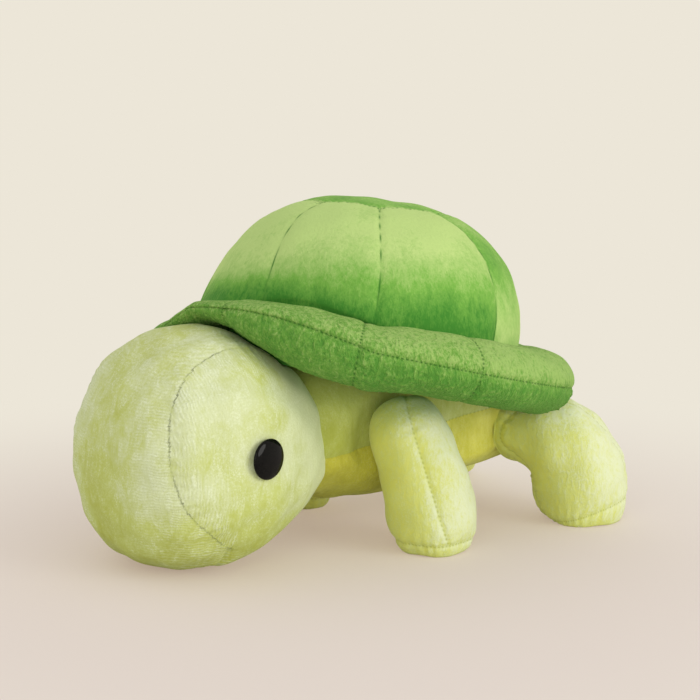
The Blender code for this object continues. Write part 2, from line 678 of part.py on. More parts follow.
def make_eye(frame, side, word, origin):
    """A bead eye on a shank, and the washer that holds it from inside the head."""
    seat = on_side(EYE_CENTRE, side) - origin
    quarters = [i * math.pi / 2 / EYE_CURVE_STEPS for i in range(EYE_CURVE_STEPS + 1)]
    front = [(EYE_RADIUS * math.sin(turn), EYE_EDGE + (EYE_HEIGHT - EYE_EDGE) * math.cos(turn))
             for turn in quarters]
    stem = [(EYE_RADIUS, 0), (SHANK_RADIUS, 0), (SHANK_RADIUS, -SHANK_LENGTH), (0, -SHANK_LENGTH)]
    eye = add_piece(f"eye_{word}", profile_mesh(f"eye_{word}", front + stem), frame, "black_plastic")
    turn_profile(eye, seat + Vector((side * CLEARANCE, 0, 0)), side, EYE_STEPS)

    bore = (SHANK_RADIUS + CLEARANCE) / math.cos(math.pi / HOLE_STEPS)
    back = EYE_SEAT_DEPTH - WASHER_DEPTH
    ring = [(bore, back), (WASHER_RADIUS, back), (WASHER_RADIUS, back - WASHER_THICKNESS),
            (bore, back - WASHER_THICKNESS)]
    washer = add_piece(f"eye_washer_{word}", profile_mesh(f"eye_washer_{word}", ring, closed=True),
                       frame, "white_plastic")
    turn_profile(washer, seat, side, HOLE_STEPS)

    recess = (EYE_RADIUS + CLEARANCE) / math.cos(math.pi / EYE_STEPS)
    pocket = (WASHER_RADIUS + CLEARANCE) / math.cos(math.pi / HOLE_STEPS)
    pocket_floor = back - WASHER_THICKNESS - CLEARANCE
    shank_floor = -SHANK_LENGTH - CLEARANCE
    return (add_hole(f"eye_seat_{word}", seat, side, frame, EYE_STEPS, [
                (0, EYE_HEIGHT), (recess, EYE_HEIGHT), (recess, 0), (0, 0)]),
            add_hole(f"eye_shank_hole_{word}", seat, side, frame, HOLE_STEPS, [
                (0, EYE_HEIGHT), (bore, EYE_HEIGHT), (bore, pocket_floor), (0, pocket_floor)]),
            add_hole(f"eye_washer_pocket_{word}", seat, side, frame, HOLE_STEPS, [
                (0, 0), (pocket, 0), (pocket, pocket_floor), (bore, pocket_floor),
                (bore, shank_floor), (0, shank_floor)]))


def add_hole(name, place, side, frame, steps, profile):
    cutter = add_cutter(f"{name}_cutter", profile_mesh(f"{name}_cutter", profile), frame)
    turn_profile(cutter, place, side, steps)
    return cutter


def make_leg(toy, name, side, hip, knee, hip_radius, foot_radius, swell_share, seam_turn, seam_lean,
             sole_rise, sole_tip):
    origin = on_side(hip, side)
    frame = pivot(f"{name}_hip", origin, parent=toy)

    def place(unit):
        return on_side(leg_point(unit, hip, knee, hip_radius, foot_radius, swell_share), side) - origin

    form = ball_form(f"{name}_form", LEG_SEGMENTS, LEG_RINGS, place)
    seam = pivot(f"{name}_seam_frame", on_side(knee, side), parent=frame)
    seam.rotation_euler = (0, side * seam_lean, side * seam_turn)
    sole_middle = on_side(Vector((knee.x, knee.y, sole_rise)), side)
    sole_seam = pivot(f"{name}_sole_seam_frame", sole_middle, parent=frame)
    sole_seam.rotation_euler = (0, -side * sole_tip, side * SOLE_TIP_TURN)
    below = add_block(f"{name}_sole_cutter", sole_seam, z=(None, -HALF_SEAM))
    above = add_block(f"{name}_above_sole_cutter", sole_seam, z=(HALF_SEAM, None))
    sole = cover(f"{name}_sole", form, frame, "lime_plush")
    cut(sole, below, keep_inside=True)
    for word, direction in (("front", -1), ("back", 1)):
        half = add_block(f"{name}_{word}_cutter", seam, x=beyond(direction * side, HALF_SEAM))
        panel = cover(f"{name}_{word}_panel", form, frame, "lime_plush")
        cut(panel, above, keep_inside=True)
        cut(panel, half, keep_inside=True)
    add_piece(f"{name}_filling", ball_form(f"{name}_filling_form", LEG_SEGMENTS, LEG_RINGS, place,
                                           FILLING_DEPTH), frame, "fibre_filling")


def make_tail(toy):
    frame = pivot("tail_root", TAIL_PIVOT, parent=toy)
    place = from_frame(tail_point, TAIL_PIVOT)
    mouth = add_block("tail_mouth_cutter", frame, y=(None, -TAIL_MOUTH))
    skin = cover("tail_cover", ball_form("tail_form", TAIL_SEGMENTS, TAIL_RINGS, place), frame, "lime_plush")
    cut(skin, mouth)
    add_piece("tail_filling", ball_form("tail_filling_form", TAIL_SEGMENTS, TAIL_RINGS, place,
                                        FILLING_DEPTH), frame, "fibre_filling")


clear_scene()
PARTS = new_collection("plush_turtle")
CUTTERS = new_collection("cutters")

toy_frame = pivot("toy_frame", TOY_SHIFT)
shell_frame = pivot("shell_frame", Vector((0, SHELL_CENTRE_Y, SHELL_CENTRE_Z)), -SHELL_PITCH, toy_frame)
head_frame = pivot("head_turn_axis", Vector((0, NECK_Y, 0)), parent=toy_frame)
make_shell(shell_frame)
make_trunk(toy_frame)
make_head(head_frame)
for leg_side, side_word in SIDES:
    make_leg(toy_frame, f"front_{side_word}_leg", leg_side, FRONT_HIP, FRONT_KNEE, FRONT_HIP_RADIUS,
             FRONT_FOOT_RADIUS, FRONT_SWELL_SHARE, FRONT_SEAM_TURN, FRONT_SEAM_LEAN, FRONT_SOLE_RISE,
             FRONT_SOLE_TIP)
    make_leg(toy_frame, f"rear_{side_word}_leg", leg_side, REAR_HIP, REAR_KNEE, REAR_HIP_RADIUS,
             REAR_FOOT_RADIUS, REAR_SWELL_SHARE, REAR_SEAM_TURN, REAR_SEAM_LEAN, REAR_SOLE_RISE,
             REAR_SOLE_TIP)
make_tail(toy_frame)
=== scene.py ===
"""Looks of the plush turtle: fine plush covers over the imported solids, lit and framed as in the photo."""

import json
import math

import bmesh
import bpy
import numpy as np
from mathutils import Matrix, Vector


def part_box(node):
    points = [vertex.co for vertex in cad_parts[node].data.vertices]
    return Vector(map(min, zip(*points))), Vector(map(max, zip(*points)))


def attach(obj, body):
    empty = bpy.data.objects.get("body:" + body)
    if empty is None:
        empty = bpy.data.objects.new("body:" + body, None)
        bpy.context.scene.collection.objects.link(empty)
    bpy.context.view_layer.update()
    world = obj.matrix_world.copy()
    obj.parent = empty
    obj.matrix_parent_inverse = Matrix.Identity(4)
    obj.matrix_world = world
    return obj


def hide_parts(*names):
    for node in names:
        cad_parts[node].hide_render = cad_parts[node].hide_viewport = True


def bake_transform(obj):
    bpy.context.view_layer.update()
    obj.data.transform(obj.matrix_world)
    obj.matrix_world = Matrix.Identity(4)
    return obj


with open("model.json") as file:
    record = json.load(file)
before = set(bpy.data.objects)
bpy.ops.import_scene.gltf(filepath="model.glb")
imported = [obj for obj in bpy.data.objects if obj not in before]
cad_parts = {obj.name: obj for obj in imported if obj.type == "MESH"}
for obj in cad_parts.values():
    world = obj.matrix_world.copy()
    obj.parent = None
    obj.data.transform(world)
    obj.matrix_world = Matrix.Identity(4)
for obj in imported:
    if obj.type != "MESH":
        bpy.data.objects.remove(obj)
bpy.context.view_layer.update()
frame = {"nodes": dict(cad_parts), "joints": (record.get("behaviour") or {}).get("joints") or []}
JOINTS = {joint["name"]: Vector(joint["pos_m"]) for joint in frame["joints"]}
MM = 0.001

# Camera: the photograph's view, its distance and target in metres, lens and sensor in millimetres
VIEW_AZIMUTH = math.radians(52)
VIEW_ELEVATION = math.radians(10.9)
VIEW_DISTANCE = 1.108
VIEW_TARGET = Vector((0, 0.0086, 0.0854))
LENS = 122.2
SENSOR = 36

# Shell, in its own tipped frame. Turns run anticlockwise from above, from the toy's left; -90 is the front.
SHELL_PITCH = math.radians(14.7)
SHELL_CENTRE_Y = -8 * MM
SHELL_CENTRE_Z = 87.3 * MM
SHELL_SECTORS = 8
RIM_RADIUS_X = 102.5 * MM
RIM_RADIUS_Y = 99 * MM
RIM_HALF_WIDTH = 16 * MM
RIM_HALF_HEIGHT = 14.5 * MM
RIM_TOP_PRESS = 10 * MM
RIM_TOP_PRESS_TURN = math.radians(-90)
RIM_TOP_PRESS_SPAN = math.radians(85)
RIM_NECK_PRESS = 10 * MM
RIM_NECK_PRESS_TURN = math.radians(-95)
RIM_NECK_PRESS_SPAN = math.radians(45)
RIM_SAG = 6 * MM
RIM_SAG_TURN = math.radians(-58)
RIM_SAG_SPAN = math.radians(40)
RIM_LIFT = 6.5 * MM
RIM_LIFT_TURN = math.radians(-68)
RIM_LIFT_SPAN = math.radians(31)
RIM_DROOP = 14.5 * MM
RIM_DROOP_TILT = 9 * MM
RIM_DROOP_TURN = math.radians(-143)
RIM_DROOP_SPAN = math.radians(51)
RIM_SEAM_TURNS = [math.radians(turn) for turn in (-80, -41, -8, 41.7, 89.3, 137, 184.7, 232.3)]
DOME_SPRING_HEIGHT = 11 * MM
DOME_RISE = 57.3 * MM
DOME_ROUNDNESS = 2.25
DOME_WALL_SHARE = 4 / 5
DOME_WALL_GAP = 2.8 * MM
DOME_TUCK_GAIN = 3              # how fast the wall's gap to the rim closes on its way down
DOME_TUCK_SHARE = 0.3           # of that gap: how far the wall goes into the rim further down
DOME_RIDE_SHARE = 0.25
DOME_FULL_TURN = math.radians(52)
DOME_FULLNESS = 6 * MM
DOME_BULGE = 7.5 * MM
DOME_BULGE_SPAN = math.radians(65)
DOME_BULGE_FADE = 3             # an exponent: how fast it fades from the spring line to the top
DOME_DIP = 14 * MM
DOME_DIP_FADE = 4               # the same for the dip
TOP_PANEL_RADIUS = 38 * MM
TOP_PANEL_MIDDLE = (-8.5 * MM, -1 * MM)
TOP_PANEL_TURN = math.radians(8)
DOME_SEAM_TURNS = [math.radians(turn) for turn in (-82, -37, 13, 53, 98, 143, 188, 233)]
DOME_SEAM_RADIUS = 72 * MM
BASE_SEAM_RISE = 4 * MM
SECTOR = math.tau / SHELL_SECTORS
TOP_PANEL_CORNER_TURNS = [TOP_PANEL_TURN + SECTOR * round((turn - TOP_PANEL_TURN) / SECTOR)
                          for turn in DOME_SEAM_TURNS]
RIM_CENTRE_X = RIM_RADIUS_X - RIM_HALF_WIDTH
RIM_CENTRE_Y = RIM_RADIUS_Y - RIM_HALF_WIDTH

# Trunk
NECK_Y = -45 * MM
NECK_Z = 55 * MM
NECK_RADIUS = 34 * MM
TRUNK_REACH = 130 * MM
TRUNK_HALF_WIDTH = 36 * MM
TRUNK_FLANK = 31.1 * MM
TRUNK_DROOP = 14 * MM
TRUNK_TAPER_SHARE = 0.55
BELLY_SAG = 6 * MM
TRUNK_BLUNTNESS = 4.0
TRUNK_SECTION_ROUNDNESS = 2.2
TRUNK_SHOULDER_SHARE = 0.3
TRUNK_FLANK_SHARE = 0.09
BELLY_SEAM_Z = 50 * MM
BELLY_SEAM_SLOPE = 0.11

# Head
HEAD_CENTRE_Y = -99.8 * MM
HEAD_CENTRE_Z = 53 * MM
HEAD_HALF_WIDTH = 55.2 * MM
HEAD_HALF_HEIGHT = 53.5 * MM
HEAD_NOSE_REACH = 52.6 * MM
HEAD_NAPE_REACH = 71.6 * MM
HEAD_DROOP = 8.9 * MM
HEAD_SECTION_ROUNDNESS = 2.23
HEAD_NOSE_ROUNDNESS = 2.51
HEAD_NAPE_ROUNDNESS = 1.38
HEAD_RIM_GAP = 0.4 * MM
HEAD_TURN = math.radians(3)
GUSSET_HALF_WIDTH = 39.3 * MM
GUSSET_SPLAY = math.radians(13)
GUSSET_SEAM_BACK = 12 * MM
GUSSET_SEAM_TURN_IN_Z = 30 * MM
GUSSET_TURN_IN_SHARE = 0.9
CHIN_SEAM_Y = -113 * MM

# Eyes
EYE_RADIUS = 9 * MM
EYE_HEIGHT = 3.6 * MM
EYE_TILT = math.radians(10)
BEAD_HEIGHT = 2.9 * MM
EYE_EDGE = 0.9 * MM
EYE_SEAT_DEPTH = 1.1 * MM
EYE_SEAT_REACH = 15 * MM
EYE_STEPS = 72
EYE_CURVE_STEPS = 20
EYE_BACK = ((0.985, 0.3), (0.95, 0), (0.5, 0))    # shares of its radius and of its edge

# Legs and tail
LEGS = {
    "front": {"knee": Vector((53, -8, 28)) * MM, "foot": Vector((53, -8, 0)) * MM,
              "radii": (18 * MM, 22 * MM), "swell": 0.0,
              "seam_turn": math.radians(50), "seam_lean": math.radians(-17),
              "sole_rise": 5.5 * MM, "sole_tip": 0.0, "hip_shift": Vector()},
    "rear": {"knee": Vector((60, 80.5, 46)) * MM, "foot": Vector((53, 84.5, 0)) * MM,
             "radii": (15 * MM, 26.5 * MM), "swell": 0.1,
             "seam_turn": math.radians(142), "seam_lean": 0.0,
             "sole_rise": 5.4 * MM, "sole_tip": math.radians(18), "hip_shift": Vector((0, 8, 2.5)) * MM},
}
LEG_HIP_PART = 0.25
LEG_SHAFT_PART = 0.85
SOLE_TIP_TURN = math.radians(52)
LEG_SINK = 1.2 * MM
TOE_SHARE = 0.57
SOLE_SHARE = 0.58
LEG_SWING = math.radians(4)
FLOOR_CUT = 0.5 * MM
TAIL_RADIUS = 9 * MM
TAIL_LENGTH = 21 * MM
TAIL_DROOP = 4 * MM

# Covers: columns and rows of their points
DOME_GRID = (352, 132)
RIM_ROWS = 560
RIM_COLUMNS = 112
TRUNK_GRID = (144, 120)
HEAD_GRID = (384, 264)
LEG_GRID = (160, 144)
TAIL_GRID = (56, 44)

# Seams and stuffing
SEAM_WIDTH = 1.3 * MM
SEAM_SHOULDER_WIDTH = 3 * SEAM_WIDTH
SEAM_SHOULDER_SHARE = 0.45
STITCH_LENGTH = 2.2 * MM
STITCH_SHARE = 0.1
PUCKER_LENGTH = 7 * MM
PUCKER_REACH = 7 * MM
PUCKER_DEPTH = 0.2 * MM
PUCKER_WANDER = 2.5
PUCKER_WANDER_SIZE = 5 * PUCKER_LENGTH
SHELL_PUCKER_DEPTH = 0.12 * MM
WAVES = 7
WAVE_START = 0.3
WAVE_TURN = 2.4
WAVE_STEP = 0.23
WAVE_PHASE = 1.7
WAVE_SUM = 2.6
LUMP_SIZE = 34 * MM
LUMP_DEPTH = 0.5 * MM
DOME_LUMP_DEPTH = 0.25 * MM
RIM_LUMP_DEPTH = 0.3 * MM
TAIL_LUMP_DEPTH = 0.1 * MM
LEAST_SLANT = 0.04              # keeps a seam narrow where the cover lies almost along its plane
FAR = 1.0                       # a length beyond anything on the toy
TOP_SEAM_DEPTH = 0.5 * MM
SIDE_SEAM_DEPTH = 0.6 * MM
BASE_SEAM_DEPTH = 0.8 * MM
RIM_EDGE_SEAM_DEPTH = 1.0 * MM
RIM_CROSS_SEAM_DEPTH = 0.7 * MM
BELLY_SEAM_DEPTH = 0.9 * MM
GUSSET_SEAM_DEPTH = 0.15 * MM
CHIN_SEAM_DEPTH = 0.6 * MM
LEG_SEAM_DEPTH = 0.7 * MM
TAIL_SEAM_DEPTH = 0.6 * MM
RIM_TUFT_SIZES = (3.2 * MM, 5 * MM)
RIM_TUFT_OFFSET = 50 * MM
RIM_TUFT_DEPTH = 0.22 * MM
RIM_TUFT_START = 0.5            # the tufts' share at the edge seam, less above it and more below
RIM_TUFT_FADE = 1.5

# Painted light and shade over the pile's brushing: where the covers are painted pale (high values) or dark
TOP_PANEL_SHADE = 0.75
TOP_PANEL_EDGE = 1 * MM
LIGHT_AND_NAP_LOW_SHARE = -0.1
LIGHT_AND_NAP_HIGH_SHARE = 0.7
PAINTED_LIGHT_LEAN_SHARE = 0.36
PAINTED_LIGHT_FOLD_START = 0.4
PAINTED_LIGHT_FOLD_GAIN = 1.7
LIGHT_AND_NAP_HEIGHT_GAIN = 0.1
LEFT_SHADE = 0.35
LEFT_SHADE_HEIGHT = 0.17
LEFT_SHADE_GAIN = 1.5
LEFT_SHADE_START = 0.2
PANEL_SHADE_GAIN = 2
PANEL_SHADE_HEIGHT = 0.4
PANEL_SHADE_MOST = 0.5
PANEL_SHADES = (0.1, 0.0, 1.3, 0.3, 0.0, 0.2, 0.0, 0.1)
PANEL_DROPS = (-0.08, 0.05, -0.04, 0.0, 0.05, -0.03, 0.06, 0.0)
RIM_SHADE_AND_NAP_EDGE = 4
RIM_PAINTED_LIGHT_LEAN = 0.8
PAINTED_SHEEN_BAND = 24 * MM
PAINTED_SHEEN_BAND_Z = 62 * MM
PAINTED_SHEEN_BAND_REACH_Z = 38.75 * MM
HEAD_PAINTED_LIGHT_RISE = 0.5
HEAD_PAINTED_SHEEN = 0.45
HEAD_PAINTED_LIGHT_UP = 0.1
HEAD_PAINTED_LIGHT_NAPE = 2.0
LEG_LIT_SIDE = Vector((0.62, 0.62, 0.35)).normalized()
TAIL_TONE = 0.5
TAIL_PAINTED_LIGHT_UP = 0.2

PHOTO_RIGHT = np.array((math.cos(VIEW_AZIMUTH), math.sin(VIEW_AZIMUTH), 0))
SHIFT = Vector((0, JOINTS["head_turn"].y - NECK_Y, 0))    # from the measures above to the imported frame
SIDES = ((1, "left"), (-1, "right"))


def round_power(value, roundness):
    """A superellipse's sine or cosine from the plain one."""
    return np.sign(value) * np.abs(value) ** (2 / roundness)


def wrapped(turn):
    """The same turn, at most half a turn to either side."""
    return (turn + math.pi) % math.tau - math.pi


def hump(turn, middle, span):
    """1 at the middle turn, down to 0 a span away on both sides."""
    away = np.abs(wrapped(turn - middle))
    return np.cos(math.pi / 2 * np.minimum(1, away / span)) ** 2


def rim_half_height(turn, upper):
    top = RIM_HALF_HEIGHT - RIM_TOP_PRESS * hump(turn, RIM_TOP_PRESS_TURN, RIM_TOP_PRESS_SPAN)
    bottom = (RIM_HALF_HEIGHT + RIM_SAG * hump(turn, RIM_SAG_TURN, RIM_SAG_SPAN)
              - RIM_NECK_PRESS * hump(turn, RIM_NECK_PRESS_TURN, RIM_NECK_PRESS_SPAN))
    return np.where(upper, top, bottom)


def rim_wave(turn, out=-1.0):
    """How far the rim rides up (below 0: hangs down) at a turn; out is -1 at its inner edge, 1 outside."""
    lift = RIM_LIFT * np.sqrt(hump(turn, RIM_LIFT_TURN, RIM_LIFT_SPAN))
    return lift - (RIM_DROOP + RIM_DROOP_TILT * out) * np.sqrt(hump(turn, RIM_DROOP_TURN, RIM_DROOP_SPAN))


def rim_points(turn, section_turn):
    """Places on the rim: a turn around the shell, and a turn around the rim's own section."""
    out, up = np.cos(section_turn), np.sin(section_turn)
    height = rim_half_height(turn, up >= 0)
    return np.stack(((RIM_CENTRE_X + RIM_HALF_WIDTH * out) * np.cos(turn),
                     (RIM_CENTRE_Y + RIM_HALF_WIDTH * out) * np.sin(turn),
                     rim_wave(turn, out) + height * up), -1)


def dome_points(unit):
    """The dome over its spring line, and under it the wall that is tucked into the rim."""
    turn = np.arctan2(unit[:, 1], unit[:, 0])
    polar = np.arccos(np.clip(unit[:, 2], -1, 1))
    bulging = hump(turn, DOME_FULL_TURN + math.pi, DOME_BULGE_SPAN)
    spring = DOME_SPRING_HEIGHT + (1 - DOME_RIDE_SHARE) * rim_wave(turn)
    dip = DOME_DIP * bulging
    top = DOME_SPRING_HEIGHT + DOME_RISE
    upper = unit[:, 2] >= 0
    rise_share = round_power(np.cos(polar), DOME_ROUNDNESS)
    fall_share = 1 - np.clip(rise_share, 0, 1)
    high = spring + (top - spring) * rise_share - dip * fall_share ** DOME_DIP_FADE
    down = (polar / (math.pi / 2) - 1) / DOME_WALL_SHARE
    low = spring - dip - (spring - dip + RIM_HALF_HEIGHT) * np.minimum(1, down)
    height = np.where(upper, high, low)
    share = np.where(upper, round_power(np.sin(polar), DOME_ROUNDNESS),
                     np.clip((1 / DOME_WALL_SHARE - down) / (1 / DOME_WALL_SHARE - 1), 0, 1))
    level = np.clip((np.where(upper, spring, low + dip) - rim_wave(turn)) / RIM_HALF_HEIGHT, 0, 1)
    gap = DOME_WALL_GAP * np.where(upper, 1, np.clip(1 - DOME_TUCK_GAIN * down, -DOME_TUCK_SHARE, 1))
    inset = RIM_HALF_WIDTH * np.sqrt(1 - level ** 2) + gap
    bulge = np.where(upper, fall_share ** DOME_BULGE_FADE, np.clip(1 - down, 0, 1))
    inset -= DOME_BULGE * bulge * bulging
    full = np.maximum(0, share * np.cos(turn - DOME_FULL_TURN)) * upper
    height = height + DOME_FULLNESS * full * (1 - full ** 2)
    return np.stack(((RIM_CENTRE_X - inset) * share * np.cos(turn),
                     (RIM_CENTRE_Y - inset) * share * np.sin(turn), height), -1)


def shell_underside(x, y, clearance):
    """Height of the rim's underside over points of the floor; far up where there is no rim."""
    rise, run = math.sin(SHELL_PITCH), math.cos(SHELL_PITCH)
    along = (y - SHELL_CENTRE_Y + RIM_HALF_HEIGHT * rise) / run
    turn = np.arctan2(along / RIM_CENTRE_Y, x / RIM_CENTRE_X)
    out = (np.hypot(x / RIM_CENTRE_X, along / RIM_CENTRE_Y) - 1) * (RIM_CENTRE_X + RIM_CENTRE_Y) / 2
    width = RIM_HALF_WIDTH + clearance
    inward = np.clip(-out / RIM_HALF_WIDTH, 0, 1)
    edge = rim_half_height(turn, False) * np.sqrt(np.clip(1 - (out / width) ** 2, 0, 1))
    edge -= rim_wave(turn, np.clip(out / RIM_HALF_WIDTH, -1, 1))
    depth = np.maximum(edge, RIM_HALF_HEIGHT * inward)
    return np.where(out > width, FAR, SHELL_CENTRE_Z - along * rise - (depth + clearance) * run)


def under_shell(points, joint, axis, swing, clearance):
    """Lower points until the shell clears them wherever their joint turns them a little."""
    excess = np.zeros(len(points))
    for angle in (-swing, 0, swing):
        turned = (points - joint) @ np.array(Matrix.Rotation(angle, 3, axis)).T + joint
        excess = np.maximum(excess, turned[:, 2] - shell_underside(turned[:, 0], turned[:, 1], clearance))
    return points - np.outer(excess, (0, 0, 1))


def trunk_points(unit):
    """The ball's +Z pole is the rear end; the front half of the ball is the round neck."""
    across, up, back = unit.T
    neck = np.stack((across, back, up), -1) * NECK_RADIUS + (0, NECK_Y, NECK_Z)
    along = np.arcsin(np.clip(back, 0, 1)) / (math.pi / 2)
    turn = np.arctan2(up, across)
    thickness = (1 - along ** TRUNK_BLUNTNESS) ** (1 / TRUNK_BLUNTNESS)
    growth = np.sin(math.pi / 2 * np.minimum(1, along / TRUNK_SHOULDER_SHARE))
    roundness = 2 + (TRUNK_SECTION_ROUNDNESS - 2) * growth
    half_width = NECK_RADIUS + (TRUNK_HALF_WIDTH - NECK_RADIUS) * growth
    half_height = (NECK_RADIUS + BELLY_SAG * growth) * (1 - TRUNK_TAPER_SHARE * along)
    flank = NECK_RADIUS + (TRUNK_FLANK - NECK_RADIUS) * np.minimum(1, along / TRUNK_FLANK_SHARE)
    x = np.clip(half_width * thickness * round_power(np.cos(turn), roundness), -flank, flank)
    z = NECK_Z - TRUNK_DROOP * along + half_height * thickness * round_power(np.sin(turn), roundness)
    body = np.stack((x, NECK_Y + TRUNK_REACH * along, z), -1)
    points = np.where((back <= 0)[:, None], neck, body)
    rise, run = math.sin(SHELL_PITCH), math.cos(SHELL_PITCH)
    level = (points[:, 1] - SHELL_CENTRE_Y + RIM_HALF_HEIGHT * rise) / run
    ceiling = SHELL_CENTRE_Z - level * rise - RIM_HALF_HEIGHT * run
    points[:, 2] = np.minimum(points[:, 2], ceiling)
    return points


def head_points(unit):
    """The ball's poles lie under the two eyes."""
    back, up, across = unit.T
    section = (np.abs(across / HEAD_HALF_WIDTH) ** HEAD_SECTION_ROUNDNESS
               + np.abs(up / HEAD_HALF_HEIGHT) ** HEAD_SECTION_ROUNDNESS)
    nose = back < 0
    reach = np.where(nose, HEAD_NOSE_REACH, HEAD_NAPE_REACH)
    power = np.where(nose, HEAD_NOSE_ROUNDNESS, HEAD_NAPE_ROUNDNESS)
    stretch = (section ** (power / HEAD_SECTION_ROUNDNESS) + np.abs(back / reach) ** power) ** (-1 / power)
    x, y, z = across * stretch, back * stretch, up * stretch
    z = z + HEAD_CENTRE_Z - HEAD_DROOP * (y / reach) ** 2
    points = np.stack((x, y + HEAD_CENTRE_Y, z), -1)
    points = under_shell(points, np.array((0, NECK_Y, 0)), "Z", HEAD_TURN, HEAD_RIM_GAP)
    points[:, 2] = np.maximum(0, points[:, 2])
    return points


def leg_points(unit, hip, knee, foot, radii, swell):
    """The ball's +Z pole is the hip end, its -Z pole the middle of the sole."""
    hip_radius, foot_radius = radii
    hip, knee, foot = np.array(hip), np.array(knee), np.array(foot) - (0, 0, FLOOR_CUT)
    turn = np.arctan2(unit[:, 1], unit[:, 0])
    progress = np.arccos(np.clip(unit[:, 2], -1, 1)) / math.pi
    at_hip = progress < LEG_HIP_PART
    polar = math.pi / 2 * np.minimum(1, progress / LEG_HIP_PART)
    along = np.clip((progress - LEG_HIP_PART) / (LEG_SHAFT_PART - LEG_HIP_PART), 0, 1)
    toe = np.clip((along - TOE_SHARE) / (1 - TOE_SHARE), 0, 1)
    width = SOLE_SHARE + (1 - SOLE_SHARE) * np.sqrt(1 - toe ** 2)
    width = width + swell * np.sin(math.pi * np.minimum(1, along / TOE_SHARE))
    width = width * np.clip((1 - progress) / (1 - LEG_SHAFT_PART), 0, 1)
    width = np.where(at_hip, np.sin(polar), width)
    back = np.where(at_hip, -np.cos(polar), 0)
    along = along[:, None]
    centre = hip * (1 - along) ** 2 + knee * 2 * along * (1 - along) + foot * along ** 2
    heading = (knee - hip) * (1 - along) + (foot - knee) * along
    heading /= np.linalg.norm(heading, axis=1)[:, None]
    side = np.cross(heading, (0, 1, 0))
    side /= np.linalg.norm(side, axis=1)[:, None]
    other = np.cross(heading, side)
    radius = (hip_radius + (foot_radius - hip_radius) * along[:, 0]) * width
    points = centre + heading * (hip_radius * back)[:, None]
    points += side * (radius * np.cos(turn))[:, None] + other * (radius * np.sin(turn))[:, None]
    points = under_shell(points, hip, "X", LEG_SWING, HEAD_RIM_GAP)
    points[:, 0] = np.maximum(TRUNK_FLANK - LEG_SINK, points[:, 0])
    points[:, 2] = np.maximum(0, points[:, 2])
    return points


def tail_points(unit):
    across, up, back = unit.T
    drawn = np.maximum(0, back)
    root = np.array(JOINTS["tail_wag"] - SHIFT)
    return root + np.stack((across * TAIL_RADIUS, back * TAIL_RADIUS + (TAIL_LENGTH - TAIL_RADIUS) * drawn,
                            up * TAIL_RADIUS - TAIL_DROOP * drawn ** 2), -1)


def grid_mesh(name, rows, columns, points, closed_rows=False):
    """Quads over rows of points that close on themselves; two points after them are poles."""
    faces = []
    for i in range(rows if closed_rows else rows - 1):
        below = (i + 1) % rows
        for j in range(columns):
            right = (j + 1) % columns
            faces.append((i * columns + j, below * columns + j,
                          below * columns + right, i * columns + right))
    if not closed_rows:
        first, last = rows * columns, rows * columns + 1
        for j in range(columns):
            right = (j + 1) % columns
            faces.append((first, j, right))
            faces.append((last, (rows - 1) * columns + right, (rows - 1) * columns + j))
    mesh = bpy.data.meshes.new(name)
    mesh.from_pydata(points.tolist(), [], faces)
    bm = bmesh.new()
    bm.from_mesh(mesh)
    bmesh.ops.recalc_face_normals(bm, faces=bm.faces)
    bm.to_mesh(mesh)
    bm.free()
    mesh.shade_smooth()
    return mesh


def ball_mesh(name, columns, rows, place):
    """A fine ball whose points are moved by place()."""
    turns = np.arange(columns) * math.tau / columns
    polars = (np.arange(rows) + 0.5) * math.pi / rows
    ring = np.stack(np.broadcast_arrays(np.outer(np.sin(polars), np.cos(turns)),
                                        np.outer(np.sin(polars), np.sin(turns)),
                                        np.cos(polars)[:, None]), -1).reshape(-1, 3)
    return grid_mesh(name, rows, columns, place(np.concatenate((ring, [[0, 0, 1], [0, 0, -1]]))))


def mesh_points(mesh):
    """The mesh's points, one row each."""
    points = np.zeros(len(mesh.vertices) * 3)
    mesh.vertices.foreach_get("co", points)
    return points.reshape(-1, 3)


def mesh_normals(mesh):
    normals = np.zeros(len(mesh.vertices) * 3)
    mesh.vertex_normals.foreach_get("vector", normals)
    return normals.reshape(-1, 3)


def set_points(mesh, points):
    mesh.vertices.foreach_set("co", points.ravel())
    mesh.update()


def set_values(mesh, name, values):
    attribute = mesh.attributes.get(name) or mesh.attributes.new(name, "FLOAT", "POINT")
    attribute.data.foreach_set("value", np.asarray(values, np.float32))


def wander(points, size):
    """Smooth irregular values, about -1 to 1, that change over the given size."""
    total = np.zeros(len(points))
    for i in range(WAVES):
        turn, rise = WAVE_TURN * i + WAVE_START, 1 - 2 * (i + 0.5) / WAVES
        heading = np.array((math.cos(turn) * math.sqrt(1 - rise ** 2),
                            math.sin(turn) * math.sqrt(1 - rise ** 2), rise))
        total += np.sin(points @ heading * (math.tau / size * (1 + WAVE_STEP * i)) + WAVE_PHASE * i)
    return total / WAVE_SUM


def on_cover(distance, normals, facing):
    """A distance from a plane, measured along the cover instead of square to the plane."""
    return distance / np.sqrt(np.maximum(LEAST_SLANT, 1 - (normals * facing).sum(1) ** 2))


def plane_seam(points, normals, through, facing, along, depth, where=None):
    """A seam where a plane cuts the cover: distance on the cover, place along it, depth."""
    facing = np.array(facing) / np.linalg.norm(facing)
    distance = on_cover((points - np.array(through)) @ facing, normals, facing)
    if where is not None:
        distance = np.where(where, distance, FAR)
    return distance, along, depth


